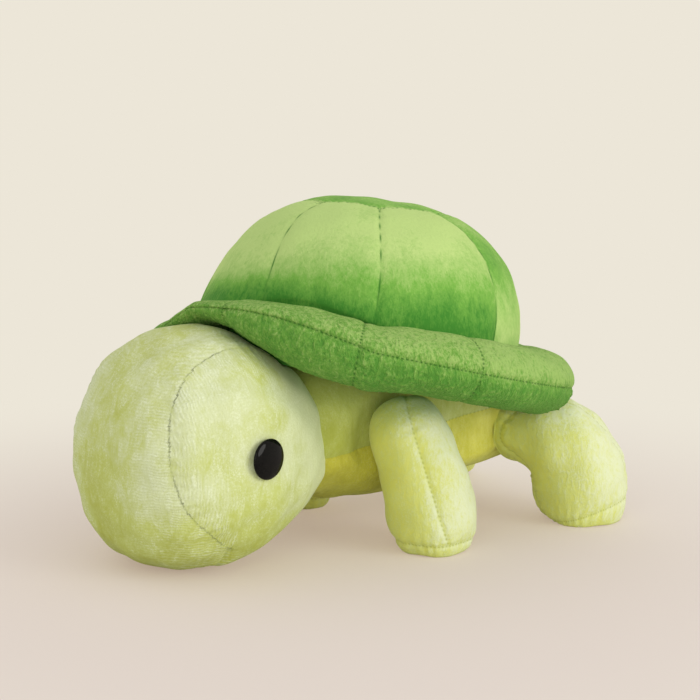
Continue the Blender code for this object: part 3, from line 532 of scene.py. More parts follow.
def sew(mesh, seams, lump=LUMP_DEPTH, pucker_depth=PUCKER_DEPTH):
    """Draw the cover in along its seams, with stitches and puckers, and make the stuffing uneven."""
    points, normals = mesh_points(mesh), mesh_normals(mesh)
    shift = lump * wander(points, LUMP_SIZE)
    nearest = np.full(len(points), FAR)
    place = np.zeros(len(points))
    for distance, along, depth in seams:
        stitch = 1 - STITCH_SHARE + STITCH_SHARE * np.cos(math.tau * along / STITCH_LENGTH)
        groove = (np.exp(-(distance / SEAM_WIDTH) ** 2)
                  + SEAM_SHOULDER_SHARE * np.exp(-(distance / SEAM_SHOULDER_WIDTH) ** 2))
        unevenness = PUCKER_WANDER * wander(points, PUCKER_WANDER_SIZE)
        pucker = np.sin(math.tau * along / PUCKER_LENGTH + unevenness)
        shift += pucker_depth * pucker * np.exp(-(distance / PUCKER_REACH) ** 2) - depth * groove * stitch
        closer = np.abs(distance) < np.abs(nearest)
        nearest = np.where(closer, distance, nearest)
        place = np.where(closer, along, place)
    set_points(mesh, points + normals * shift[:, None])
    set_values(mesh, "seam", nearest / MM)
    set_values(mesh, "stitch", place / STITCH_LENGTH)


def from_shell(points):
    """From the shell's tipped frame to that of the other measures."""
    tip = np.array(Matrix.Rotation(-SHELL_PITCH, 3, "X"))
    return points @ tip.T + (0, SHELL_CENTRE_Y, SHELL_CENTRE_Z)


def finish_cover(name, mesh, material, replaced, body):
    """A cover in its place, in for the CAD solids that it stands for."""
    points = mesh_points(mesh) + np.array(SHIFT)
    points[:, 2] = np.maximum(0, points[:, 2])
    set_points(mesh, points)
    mesh.materials.append(material)
    piece = bpy.data.objects.new(name, mesh)
    bpy.context.scene.collection.objects.link(piece)
    if body:
        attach(piece, body)
    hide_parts(*replaced)
    return piece


def top_panel_edges(points):
    """For points of the dome: how far past the top panel's edge, place along that edge, its facing."""
    from_middle = points[:, :2] - np.array(TOP_PANEL_MIDDLE)
    edge_turns = np.array(TOP_PANEL_CORNER_TURNS) + SECTOR / 2
    headings = np.stack((np.cos(edge_turns), np.sin(edge_turns)))
    past_edges = from_middle @ headings - TOP_PANEL_RADIUS * math.cos(SECTOR / 2)
    facing = headings[:, past_edges.argmax(1)].T
    along = from_middle[:, 1] * facing[:, 0] - from_middle[:, 0] * facing[:, 1]
    return past_edges.max(1), along, facing


def side_seam_turn(i, radius):
    """The turn of a side seam at radii of the dome; it bends towards a corner of the top panel."""
    corner = TOP_PANEL_CORNER_TURNS[i]
    top = np.array(TOP_PANEL_MIDDLE) + TOP_PANEL_RADIUS * np.array((math.cos(corner), math.sin(corner)))
    bend = wrapped(math.atan2(top[1], top[0]) - DOME_SEAM_TURNS[i])
    inwards = np.clip((DOME_SEAM_RADIUS - radius) / (DOME_SEAM_RADIUS - np.hypot(*top)), 0, 1)
    return DOME_SEAM_TURNS[i] + bend * inwards


def dome_light_and_nap(points, past_top, shade, drop):
    """Paler upwards and towards the camera's left, painted light and shade over the pile's own brushing;
    darker low on the left as painted shade, darker on the top panel and by panels.
    """
    turn = np.arctan2(points[:, 1], points[:, 0])
    height = (points[:, 2] - DOME_SPRING_HEIGHT - rim_wave(turn)) / DOME_RISE
    # Painted light: paler towards the left, and paler again at the far right.
    right = points @ PHOTO_RIGHT / RIM_CENTRE_X
    right = right - PAINTED_LIGHT_FOLD_GAIN * np.clip(right - PAINTED_LIGHT_FOLD_START, 0, 1)
    left = np.clip(-LEFT_SHADE_GAIN * (right + LEFT_SHADE_START), 0, 1)
    leaning = height - PAINTED_LIGHT_LEAN_SHARE * right - drop
    leaning -= LEFT_SHADE * np.exp(-(height / LEFT_SHADE_HEIGHT) ** 2) * left
    rise = np.clip((leaning - LIGHT_AND_NAP_LOW_SHARE) / (LIGHT_AND_NAP_HIGH_SHARE - LIGHT_AND_NAP_LOW_SHARE), 0, 1)
    rise = rise * rise * (3 - 2 * rise)
    upper = points[:, 2] > DOME_SPRING_HEIGHT
    top_shade = TOP_PANEL_SHADE * np.clip(-past_top / TOP_PANEL_EDGE, 0, 1) * upper
    shade_share = PANEL_SHADE_GAIN * (height - PANEL_SHADE_HEIGHT)
    shade = shade * np.clip(shade_share, -PANEL_SHADE_MOST, PANEL_SHADE_MOST)
    return rise + LIGHT_AND_NAP_HEIGHT_GAIN * height - top_shade - shade


def make_dome():
    mesh = ball_mesh("shell_dome_cover", *DOME_GRID, dome_points)
    points, normals = mesh_points(mesh), mesh_normals(mesh)
    past_top, along_edge, facing = top_panel_edges(points)
    top_seam = np.where(points[:, 2] > DOME_SPRING_HEIGHT, on_cover(past_top, normals[:, :2], facing), FAR)
    seams = [(top_seam, along_edge, TOP_SEAM_DEPTH)]
    radius = np.hypot(points[:, 0], points[:, 1])
    turn = np.arctan2(points[:, 1], points[:, 0])
    rim_reach = np.hypot(radius, points[:, 2] - RIM_HALF_HEIGHT)
    shade, drop = np.zeros(len(points)), np.zeros(len(points))
    for i in range(SHELL_SECTORS):
        away = wrapped(turn - side_seam_turn(i, radius))
        near = (np.abs(away) < SECTOR / 2) & (past_top > 0)
        seams.append((np.where(near, radius * np.sin(away), FAR), rim_reach, SIDE_SEAM_DEPTH))
        inside = (away > 0) & (away < math.pi / 2) & (past_top > 0)
        shade[inside], drop[inside] = PANEL_SHADES[i], PANEL_DROPS[i]
    base_z = BASE_SEAM_RISE - RIM_HALF_HEIGHT
    seams.append((points[:, 2] - base_z, turn * RIM_CENTRE_X, BASE_SEAM_DEPTH))
    sew(mesh, seams, lump=DOME_LUMP_DEPTH, pucker_depth=SHELL_PUCKER_DEPTH)
    # Painted light and shade on the dome, over the pile's own brushing.
    set_values(mesh, "painted_light_and_nap", dome_light_and_nap(points, past_top, shade, drop))
    set_points(mesh, from_shell(mesh_points(mesh)))
    nodes = ["shell_top_panel", "shell_base_panel", "shell_filling"]
    nodes += [f"shell_side_panel_{i + 1}" for i in range(SHELL_SECTORS)]
    return finish_cover("shell_dome_cover", mesh, DOME_PLUSH, nodes, "trunk")


def make_rim():
    turns = np.repeat(np.arange(RIM_ROWS) * math.tau / RIM_ROWS, RIM_COLUMNS)
    sections = np.tile(np.arange(RIM_COLUMNS) * math.tau / RIM_COLUMNS, RIM_ROWS)
    points = rim_points(turns, sections)
    mesh = grid_mesh("shell_rim_cover", RIM_ROWS, RIM_COLUMNS, points, closed_rows=True)
    section = wrapped(sections)
    away = np.stack([wrapped(turns - seam) for seam in RIM_SEAM_TURNS])
    from_seam = np.take_along_axis(away, np.abs(away).argmin(0)[None], 0)[0]
    seams = [(section * RIM_HALF_HEIGHT, turns * RIM_RADIUS_X, RIM_EDGE_SEAM_DEPTH),
             (RIM_CENTRE_X * np.sin(from_seam), section * RIM_HALF_HEIGHT, RIM_CROSS_SEAM_DEPTH)]
    sew(mesh, seams, lump=RIM_LUMP_DEPTH, pucker_depth=SHELL_PUCKER_DEPTH)
    fine, coarse = RIM_TUFT_SIZES
    tufts = wander(points, fine) * wander(points + RIM_TUFT_OFFSET, coarse)
    tufts *= np.clip(RIM_TUFT_START - RIM_TUFT_FADE * np.sin(section), 0, 1)
    set_points(mesh, mesh_points(mesh) + mesh_normals(mesh) * (RIM_TUFT_DEPTH * tufts)[:, None])
    # Paler on the upper half and darker on the lower half: painted shade where the rim faces down, over the
    # panels' own brushing. Paler towards the right: painted light.
    right = points @ PHOTO_RIGHT / RIM_CENTRE_X
    set_values(mesh, "painted_light_and_nap", np.tanh(RIM_SHADE_AND_NAP_EDGE * np.sin(section)) * (1 + RIM_PAINTED_LIGHT_LEAN * right))
    set_points(mesh, from_shell(mesh_points(mesh)))
    nodes = [f"rim_{level}_panel_{i + 1}" for level in ("upper", "lower") for i in range(SHELL_SECTORS)]
    piece = finish_cover("shell_rim_cover", mesh, RIM_PLUSH, nodes + ["rim_filling"], "trunk")
    return piece


def make_trunk():
    mesh = ball_mesh("trunk_cover", *TRUNK_GRID, trunk_points)
    points, normals = mesh_points(mesh), mesh_normals(mesh)
    slope = math.atan(BELLY_SEAM_SLOPE)
    belly = plane_seam(points, normals, (0, 0, BELLY_SEAM_Z), (0, -math.sin(slope), math.cos(slope)),
                       points[:, 1], BELLY_SEAM_DEPTH)
    sew(mesh, [belly])
    # Darker at the neck and paler towards the back: painted shade under the head and rim, painted light at
    # the back.
    set_values(mesh, "painted_light_and_nap", (points[:, 1] - NECK_Y) / TRUNK_REACH)
    set_values(mesh, "belly", belly[0] / MM)
    piece = finish_cover("trunk_cover", mesh, TRUNK_PLUSH,
                         ["belly_panel", "trunk_side_left", "trunk_side_right", "trunk_filling"], "trunk")
    return piece


def past_gusset(points):
    """How far points of the head lie beside the gusset, below 0 on it."""
    low = np.maximum(0, GUSSET_SEAM_TURN_IN_Z - points[:, 2])
    half_width = (GUSSET_HALF_WIDTH + (HEAD_CENTRE_Z - points[:, 2]) * math.tan(GUSSET_SPLAY)
                  - GUSSET_TURN_IN_SHARE * low ** 2 / GUSSET_SEAM_TURN_IN_Z)
    return (np.abs(points[:, 0]) - half_width) * math.cos(GUSSET_SPLAY)


def head_painted_light(points, normals, beside):
    """Painted light: paler upwards and on faces turned up, a painted sheen along the upper part of the
    gusset's seams, and painted light towards the nape.
    """
    pale = np.exp(-(beside / PAINTED_SHEEN_BAND) ** 2 - ((points[:, 2] - PAINTED_SHEEN_BAND_Z) / PAINTED_SHEEN_BAND_REACH_Z) ** 2)
    rise = np.clip(points[:, 2] / HEAD_CENTRE_Z, 0, 1)
    nape = np.clip((points[:, 1] - HEAD_CENTRE_Y) / HEAD_NAPE_REACH, 0, 1)
    return (HEAD_PAINTED_LIGHT_RISE * rise * (2 - rise) + HEAD_PAINTED_SHEEN * pale + HEAD_PAINTED_LIGHT_UP * normals[:, 2]
            + HEAD_PAINTED_LIGHT_NAPE * nape ** 2)


def make_head():
    mesh = ball_mesh("head_cover", *HEAD_GRID, head_points)
    points, normals = mesh_points(mesh), mesh_normals(mesh)
    turn_along = np.arctan2(points[:, 2] - HEAD_CENTRE_Z, HEAD_CENTRE_Y - points[:, 1]) * HEAD_HALF_HEIGHT
    beside = past_gusset(points)
    seam_end = np.where(points[:, 2] > HEAD_CENTRE_Z, HEAD_CENTRE_Y + GUSSET_SEAM_BACK, CHIN_SEAM_Y)
    shown = points[:, 1] < seam_end
    facing = np.stack((np.sign(points[:, 0]) * math.cos(GUSSET_SPLAY), np.zeros(len(points)),
                       np.full(len(points), math.sin(GUSSET_SPLAY))), -1)
    chin = (beside < 0) & (points[:, 2] < HEAD_CENTRE_Z)
    seams = [(np.where(shown, on_cover(beside, normals, facing), FAR), turn_along, GUSSET_SEAM_DEPTH),
             plane_seam(points, normals, (0, CHIN_SEAM_Y, 0), (0, 1, 0), points[:, 0],
                        CHIN_SEAM_DEPTH, chin)]
    from_eyes = [np.linalg.norm(points - np.array(eye_place(word)), axis=1) for _, word in SIDES]
    dent = sum(np.exp(-(away / EYE_SEAT_REACH) ** 4) for away in from_eyes)
    set_points(mesh, points - normals * (dent * EYE_SEAT_DEPTH)[:, None])
    sew(mesh, seams)
    # Painted light on the head, in the values that the plush shader reads.
    set_values(mesh, "painted_light_and_nap", head_painted_light(points, normals, beside))
    set_values(mesh, "knit", np.where(beside > 0, points[:, 1], points[:, 2]) / MM)
    panels = ["head_gusset", "throat_panel", "head_side_left", "head_side_right", "head_filling"]
    piece = finish_cover("head_cover", mesh, HEAD_PLUSH, panels, "head")
    return piece


def eye_place(word):
    """The middle of an eye's back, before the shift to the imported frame."""
    low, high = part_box(f"eye_{word}")
    outer = high.x if word == "left" else low.x
    middle = (low + high) / 2
    return Vector((outer - math.copysign(EYE_HEIGHT, outer), middle.y, middle.z)) - SHIFT


def make_eye(side, word):
    """A bead eye: a shallow gloss dome with a rounded edge."""
    seat = eye_place(word) + SHIFT
    tilt = Matrix.Rotation(side * EYE_TILT, 3, "Z")
    bm = bmesh.new()
    rings = []
    quarter = [i * math.pi / 2 / EYE_CURVE_STEPS for i in range(1, EYE_CURVE_STEPS + 1)]
    profile = [(EYE_RADIUS * math.sin(turn), EYE_EDGE + (BEAD_HEIGHT - EYE_EDGE) * math.cos(turn))
               for turn in quarter]
    profile += [(EYE_RADIUS * wide, EYE_EDGE * high) for wide, high in EYE_BACK]
    for radius, height in profile:
        rings.append([bm.verts.new(seat + tilt @ Vector((side * height, radius * math.cos(turn),
                                                         radius * math.sin(turn))))
                      for turn in (i * math.tau / EYE_STEPS for i in range(EYE_STEPS))])
    front = bm.verts.new(seat + tilt @ Vector((side * BEAD_HEIGHT, 0, 0)))
    for i in range(EYE_STEPS):
        after = (i + 1) % EYE_STEPS
        bm.faces.new((front, rings[0][i], rings[0][after]))
        for inner, outer in zip(rings, rings[1:]):
            bm.faces.new((inner[i], outer[i], outer[after], inner[after]))
    bm.faces.new(rings[-1])
    bmesh.ops.recalc_face_normals(bm, faces=bm.faces)
    mesh = bpy.data.meshes.new(f"eye_{word}_bead")
    bm.to_mesh(mesh)
    bm.free()
    mesh.shade_smooth()
    mesh.materials.append(EYE_PLASTIC)
    eye = bpy.data.objects.new(f"eye_{word}_bead", mesh)
    bpy.context.scene.collection.objects.link(eye)
    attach(eye, "head")
    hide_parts(f"eye_{word}")
    return eye


def make_leg(end, side, word):
    name = f"{end}_{word}_leg"
    leg = LEGS[end]
    knee, foot, radii = leg["knee"], leg["foot"], leg["radii"]
    hip = JOINTS[f"{name}_swing"] - SHIFT
    hip = Vector((abs(hip.x), hip.y, hip.z)) + leg["hip_shift"]
    mesh = ball_mesh(f"{name}_cover", *LEG_GRID,
                     lambda unit: leg_points(unit, hip, knee, foot, radii, leg["swell"]))
    points, normals = mesh_points(mesh), mesh_normals(mesh)
    turn = np.arctan2(points[:, 1] - knee.y, points[:, 0] - knee.x)
    sole = Matrix.Rotation(-leg["sole_tip"], 3, "Y") @ Vector((0, 0, 1))
    sole.rotate(Matrix.Rotation(SOLE_TIP_TURN, 3, "Z"))
    sole_seam = plane_seam(points, normals, (foot.x, foot.y, leg["sole_rise"]), sole,
                           turn * radii[1], LEG_SEAM_DEPTH)
    along_seam = (math.cos(leg["seam_turn"]) * math.cos(leg["seam_lean"]),
                  math.sin(leg["seam_turn"]) * math.cos(leg["seam_lean"]), -math.sin(leg["seam_lean"]))
    seams = [sole_seam,
             plane_seam(points, normals, knee, along_seam, points[:, 2], LEG_SEAM_DEPTH, sole_seam[0] > 0)]
    sew(mesh, seams)
    # Paler on faces turned to the lit side and darker on the others: painted light and shade.
    set_values(mesh, "painted_light_and_nap", mesh_normals(mesh) @ np.array(LEG_LIT_SIDE))
    set_points(mesh, mesh_points(mesh) * (side, 1, 1))
    if side < 0:
        mesh.flip_normals()
    panels = [f"{name}_{part}" for part in ("front_panel", "back_panel", "sole", "filling")]
    piece = finish_cover(f"{name}_cover", mesh, LEG_PLUSH, panels, None)
    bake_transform(piece)
    return piece


def make_tail():
    mesh = ball_mesh("tail_plush", *TAIL_GRID, tail_points)
    points = mesh_points(mesh)
    turn = np.arctan2(points[:, 0], points[:, 2] - JOINTS["tail_wag"].z)
    sew(mesh, [(points[:, 0], points[:, 1], TAIL_SEAM_DEPTH)], lump=TAIL_LUMP_DEPTH)
    # Paler on top: painted light.
    set_values(mesh, "painted_light_and_nap", TAIL_TONE + TAIL_PAINTED_LIGHT_UP * np.cos(turn))
    piece = finish_cover("tail_plush", mesh, LEG_PLUSH, ["tail_cover", "tail_filling"], None)
    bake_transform(piece)
    return piece


class Tree:
    """Short ways to add and join the nodes of one material."""

    def __init__(self, name):
        self.material = bpy.data.materials.new(name)
        self.material.use_nodes = True
        self.nodes = self.material.node_tree.nodes
        self.surface = self.nodes["Principled BSDF"]

    def join(self, source, target):
        self.material.node_tree.links.new(source, target)

    def fill(self, node, inputs):
        for key, value in inputs.items():
            if isinstance(value, bpy.types.NodeSocket):
                self.join(value, node.inputs[key])
            else:
                node.inputs[key].default_value = value

    def add(self, kind, inputs=None, **settings):
        node = self.nodes.new("ShaderNode" + kind)
        for key, value in settings.items():
            setattr(node, key, value)
        self.fill(node, inputs or {})
        return node

    def math(self, operation, *values, clamp=False):
        return self.add("Math", dict(enumerate(values)), operation=operation, use_clamp=clamp).outputs[0]

    def attribute(self, name):
        return self.add("Attribute", attribute_name=name).outputs["Fac"]

    def noise(self, vector, scale, detail=2.0, roughness=0.5, distortion=0.0):
        return self.add("TexNoise", {"Vector": vector, "Scale": scale, "Detail": detail,
                                     "Roughness": roughness, "Distortion": distortion}).outputs["Fac"]

    def mix(self, factor, first, second):
        colours = [value if isinstance(value, bpy.types.NodeSocket) else (*value, 1)
                   for value in (first, second)]
        return self.add("Mix", {0: factor, 6: colours[0], 7: colours[1]}, data_type="RGBA").outputs[2]

    def between(self, value, low, high, interpolation="LINEAR"):
        node = self.add("MapRange", {"Value": value, "From Min": low, "From Max": high},
                        interpolation_type=interpolation)
        return node.outputs[0]

    def ramp(self, factor, stops):
        node = self.add("ValToRGB", {"Fac": factor})
        elements = node.color_ramp.elements
        while len(elements) < len(stops):
            elements.new(0.5)
        for element, (position, colour) in zip(elements, stops):
            element.position = position
            element.color = (*colour, 1)
        return node.outputs[0]

    def bump(self, height, strength, distance):
        inputs = {"Height": height, "Strength": strength, "Distance": distance}
        return self.add("Bump", inputs).outputs["Normal"]


# Plush: shares, gains and ranges of its noises
PILE_STRETCH = (1, 1, 0.45)
PILE_TURN = (0.35, 0.2, 0)
CRUSH_FINENESS = 3.5
CRUSH_SHARE = 0.45
FIBRE_FINENESS = 2.6
FIBRE_SHARE = 0.6
FIBRE_RELIEF = 0.35
TIP_RANGE = (0.45, 0.65)
CROWD_RANGE = (0.3, 0.65)
LIT_GAIN = 1.7
DASH_BASE = 0.4
DASH_SWING = 0.35
PILE_ROUGHNESS = 0.82
PILE_ROUGHNESS_SPREAD = 0.15
PILE_SPECULAR = 0.15
SHEEN_ROUGHNESS = 0.45
KNIT_TIPS = 0.35
KNIT_RELIEF = 0.5
KNIT_PITCH = 1.3                # in mm, as the covers' own values are
KNIT_WOBBLE = 3.0               # in mm
KNIT_WOBBLE_SIZE = 6 * MM
KNIT_FADE = -0.0018             # per square mm away from a seam
SEAM_LINE_FADE = -5.0           # per square mm away from a seam
# Colours of the painted glints on fibre tips and of the darker pile between them.
LIME_GLINT = (0.84, 0.90, 0.70)
LIME_SHADE = (0.42, 0.47, 0.10)


def knit_rows(tree, place, squared):
    """Fine rows of the knit, fading away from the seams."""
    wobble = tree.noise(place, 1 / KNIT_WOBBLE_SIZE)
    across = tree.math("MULTIPLY_ADD", wobble, KNIT_WOBBLE, tree.attribute("knit"))
    wave = tree.math("SINE", tree.math("MULTIPLY", across, math.tau / KNIT_PITCH))
    rows = tree.math("MULTIPLY_ADD", wave, 0.5, 0.5)
    return tree.math("MULTIPLY", rows, tree.math("EXPONENT", tree.math("MULTIPLY", squared, KNIT_FADE)))


def seam_line(tree, squared, gain):
    """The dashes of the thread along a seam."""
    groove = tree.math("EXPONENT", tree.math("MULTIPLY", squared, SEAM_LINE_FADE))
    dash = tree.math("SINE", tree.math("MULTIPLY", tree.attribute("stitch"), math.tau))
    dash = tree.math("MULTIPLY_ADD", dash, DASH_SWING * gain, DASH_BASE * gain, clamp=True)
    return tree.math("MULTIPLY", groove, dash)


def plush(name, stops, seam_colour, *, light_and_nap_gain, light_and_nap_start, tuft_size, tuft_contrast, seam_gain,
          patch_size=30 * MM, patch_gain=0.8, tip_size=0.8 * MM, tuft_depth=0.4 * MM, knit=False,
          sheen=0.35, belly=None, glint=LIME_GLINT, shade=LIME_SHADE, glint_gain=0.4):
    """Short-pile plush: soft patches of brushed pile, painted light and shade from the covers' values, fine
    pile, knit rows, bright fibre tips as painted glints, stitched seams.
    """
    tree = Tree(name)
    place = tree.add("TexCoord").outputs["Object"]
    brushed = tree.add("Mapping", {"Vector": place, "Scale": PILE_STRETCH, "Rotation": PILE_TURN})
    brushed = brushed.outputs[0]
    patches = tree.noise(place, 1 / patch_size, detail=3, roughness=0.55, distortion=0.6)
    crushed = tree.noise(brushed, CRUSH_FINENESS / patch_size, detail=3, roughness=0.6, distortion=1.2)
    patches = tree.math("MULTIPLY_ADD", tree.math("SUBTRACT", crushed, 0.5), CRUSH_SHARE, patches)
    tone = tree.math("MULTIPLY_ADD", tree.math("SUBTRACT", patches, 0.5), patch_gain, 0.5)
    # Painted light and shade from the covers' values, over the pile's own brushing where there is some.
    painted_light_and_nap = tree.math("MULTIPLY", tree.math("SUBTRACT", tree.attribute("painted_light_and_nap"), light_and_nap_start), light_and_nap_gain)
    tone = tree.math("ADD", tone, painted_light_and_nap)
    tufts = tree.noise(brushed, 1 / tuft_size, detail=3, roughness=0.6, distortion=0.3)
    fibres = tree.noise(brushed, FIBRE_FINENESS / tuft_size, roughness=0.6)
    fine_pile = tree.math("MULTIPLY", tree.math("SUBTRACT", fibres, 0.5), tuft_contrast * FIBRE_SHARE)
    pile = tree.math("MULTIPLY_ADD", tree.math("SUBTRACT", tufts, 0.5), tuft_contrast, fine_pile)
    tone = tree.math("ADD", tone, pile, clamp=True)
    height = tree.math("MULTIPLY_ADD", fibres, FIBRE_RELIEF, tufts)
    colour = tree.ramp(tone, stops)
    if belly:
        under = tree.math("LESS_THAN", tree.attribute("belly"), 0.0)
        colour = tree.mix(under, colour, tree.ramp(tone, belly))
    distance = tree.attribute("seam")
    squared = tree.math("MULTIPLY", distance, distance)
    # Painted glints: pale highlights on fibre tips, weaker where the tone is dark.
    speckle = tree.noise(place, 1 / tip_size, roughness=0.6, distortion=0.6)
    tips = tree.between(speckle, *TIP_RANGE, "SMOOTHSTEP")
    crowded = tree.between(crushed, *CROWD_RANGE)
    lit = tree.math("MULTIPLY", tone, LIT_GAIN, clamp=True)
    tips = tree.math("MULTIPLY", tree.math("MULTIPLY", tips, crowded),
                     tree.math("MULTIPLY", lit, glint_gain))
    if knit:
        rows = tree.math("MULTIPLY", knit_rows(tree, place, squared), crowded)
        tips = tree.math("MULTIPLY_ADD", rows, KNIT_TIPS, tips)
        height = tree.math("MULTIPLY_ADD", rows, KNIT_RELIEF, height)
    colour = tree.mix(tips, tree.mix(glint_gain, colour, shade), glint)
    tree.fill(tree.surface, {
        "Base Color": tree.mix(seam_line(tree, squared, seam_gain), colour, seam_colour),
        "Normal": tree.bump(height, strength=1.0, distance=tuft_depth),
        "Roughness": tree.math("MULTIPLY_ADD", tufts, PILE_ROUGHNESS_SPREAD, PILE_ROUGHNESS),
        "Specular IOR Level": PILE_SPECULAR, "Sheen Weight": sheen,
        "Sheen Roughness": SHEEN_ROUGHNESS, "Sheen Tint": (*stops[-1][1], 1)})
    return tree.material


# Eye and washer plastics, their frequencies per metre
DUST_FREQUENCY = 700
BEAD_RIPPLE_FREQUENCY = 90
BEAD_RIPPLE_DEPTH = 0.5 * MM
BEAD_ROUGHNESS = 0.03
BEAD_ROUGHNESS_SPREAD = 0.06
BEAD_SPECULAR = 0.12
WASHER_GRAIN_FREQUENCY = 900
WASHER_GRAIN_DEPTH = 0.1 * MM
WASHER_ROUGHNESS = 0.45


def gloss_plastic():
    tree = Tree("eye_black_plastic")
    place = tree.add("TexCoord").outputs["Object"]
    dust = tree.noise(place, DUST_FREQUENCY, detail=4, roughness=0.7)
    ripple = tree.noise(place, BEAD_RIPPLE_FREQUENCY)
    tree.fill(tree.surface, {
        "Base Color": tree.ramp(dust, ((0.35, (0.002, 0.002, 0.002)), (0.75, (0.006, 0.0055, 0.005)))),
        "Roughness": tree.math("MULTIPLY_ADD", dust, BEAD_ROUGHNESS_SPREAD, BEAD_ROUGHNESS),
        "Normal": tree.bump(ripple, strength=0.04, distance=BEAD_RIPPLE_DEPTH),
        "Specular IOR Level": BEAD_SPECULAR})
    return tree.material


def washer_plastic():
    tree = Tree("washer_white_plastic")
    place = tree.add("TexCoord").outputs["Object"]
    speckle = tree.noise(place, WASHER_GRAIN_FREQUENCY, detail=3, roughness=0.6)
    tree.fill(tree.surface, {
        "Base Color": tree.ramp(speckle, ((0.3, (0.66, 0.66, 0.62)), (0.7, (0.78, 0.78, 0.75)))),
        "Normal": tree.bump(speckle, strength=0.3, distance=WASHER_GRAIN_DEPTH),
        "Roughness": WASHER_ROUGHNESS})
    return tree.material


def view_direction(azimuth, elevation):
    """From the toy towards a camera or lamp."""
    return Vector((math.sin(azimuth) * math.cos(elevation), -math.cos(azimuth) * math.cos(elevation),
                   math.sin(elevation)))


def aim(item, place, target):
    item.location = place
    item.rotation_euler = (target - place).to_track_quat("-Z", "Y").to_euler()
    bpy.context.scene.collection.objects.link(item)


def make_camera():
    data = bpy.data.cameras.new("camera")
    data.lens = LENS
    data.sensor_width = SENSOR
    camera = bpy.data.objects.new("camera", data)
    aim(camera, VIEW_TARGET + view_direction(VIEW_AZIMUTH, VIEW_ELEVATION) * VIEW_DISTANCE, VIEW_TARGET)
    bpy.context.scene.camera = camera


def make_lamp(name, azimuth, elevation, distance, size, power, colour):
    data = bpy.data.lights.new(name, "AREA")
    data.shape = "DISK"
    data.size = size
    data.energy = power
    data.color = colour
    lamp = bpy.data.objects.new(name, data)
    direction = view_direction(math.radians(azimuth), math.radians(elevation))
    aim(lamp, VIEW_TARGET + direction * distance, VIEW_TARGET)


# Light, backdrop and floor, in metres
WORLD_LIGHT = (1.0, 0.985, 0.95)
WORLD_STRENGTH = 0.74
# Each lamp: azimuth and elevation in degrees, distance and size in metres, power in watts, colour
LAMPS = {
    "key_lamp": (110, 14, 2.6, 1.6, 31, (1.0, 0.97, 0.92)),
    "front_lamp": (40, 12, 3.0, 2.0, 18, (1.0, 0.98, 0.95)),
}
BACKDROP = (0.840, 0.791, 0.687)
FLOOR_CLOTH = (0.76, 0.78, 0.81)
FLOOR_BOUNCE = (0.74, 0.71, 0.60)
FADE_CENTRE = (0.077, -0.06, 0)
FADE_START = 0.12
FADE_END = 0.43
# The floor near the toy partly glows for camera rays: painted light that lifts and warms its shadows.
FLOOR_GLOW = (0.84, 0.635, 0.49)
FLOOR_GLOW_SHARE = 0.45
FLOOR_RADIUS = 14.0
FLOOR_CORNERS = 96
FLOOR_ROUGHNESS = 0.9
FLOOR_SPECULAR = 0.1


def make_floor():
    """A pale floor that turns into the backdrop's colour away from the toy."""
    bm = bmesh.new()
    bmesh.ops.create_circle(bm, cap_ends=True, segments=FLOOR_CORNERS, radius=FLOOR_RADIUS)
    mesh = bpy.data.meshes.new("floor")
    bm.to_mesh(mesh)
    bm.free()
    floor = bpy.data.objects.new("floor", mesh)
    bpy.context.scene.collection.objects.link(floor)
    tree = Tree("pale_floor")
    place = tree.add("TexCoord").outputs["Object"]
    past = tree.add("VectorMath", {0: place, 1: FADE_CENTRE}, operation="SUBTRACT").outputs["Vector"]
    reach = tree.add("VectorMath", {0: past}, operation="LENGTH").outputs["Value"]
    far = tree.between(reach, FADE_START, FADE_END, "SMOOTHSTEP")
    # Painted light: the glow that lifts the floor's shadows.
    soft = tree.add("Emission", {"Color": (*FLOOR_GLOW, 1), "Strength": 1.0}).outputs[0]
    glow = tree.add("Emission", {"Color": (*BACKDROP, 1), "Strength": 1.0}).outputs[0]
    path = tree.add("LightPath")
    seen = tree.math("MAXIMUM", path.outputs["Is Camera Ray"],
                     tree.math("MAXIMUM", path.outputs["Is Glossy Ray"],
                               path.outputs["Is Transmission Ray"]))
    tree.fill(tree.surface, {"Base Color": tree.mix(seen, FLOOR_BOUNCE, FLOOR_CLOTH),
                             "Roughness": FLOOR_ROUGHNESS, "Specular IOR Level": FLOOR_SPECULAR})
    near = tree.add("MixShader", {0: tree.math("MULTIPLY", seen, FLOOR_GLOW_SHARE),
                                  1: tree.surface.outputs[0], 2: soft})
    blend = tree.add("MixShader", {0: tree.math("MULTIPLY", far, seen), 1: near.outputs[0], 2: glow})
    tree.join(blend.outputs[0], tree.nodes["Material Output"].inputs["Surface"])
    mesh.materials.append(tree.material)


def make_world():
    world = bpy.data.worlds.new("studio")
    bpy.context.scene.world = world
    world.use_nodes = True
    nodes, links = world.node_tree.nodes, world.node_tree.links
    light = nodes["Background"]
    light.inputs["Color"].default_value = (*WORLD_LIGHT, 1)
    light.inputs["Strength"].default_value = WORLD_STRENGTH
    shown = nodes.new("ShaderNodeBackground")
    shown.inputs["Color"].default_value = (*BACKDROP, 1)
    path = nodes.new("ShaderNodeLightPath")
    seen = nodes.new("ShaderNodeMath")
    seen.operation = "MAXIMUM"
    links.new(path.outputs["Is Camera Ray"], seen.inputs[0])
    links.new(path.outputs["Is Glossy Ray"], seen.inputs[1])
    mix = nodes.new("ShaderNodeMixShader")
    links.new(seen.outputs[0], mix.inputs[0])
    links.new(light.outputs[0], mix.inputs[1])
    links.new(shown.outputs[0], mix.inputs[2])
    links.new(mix.outputs[0], nodes["World Output"].inputs["Surface"])


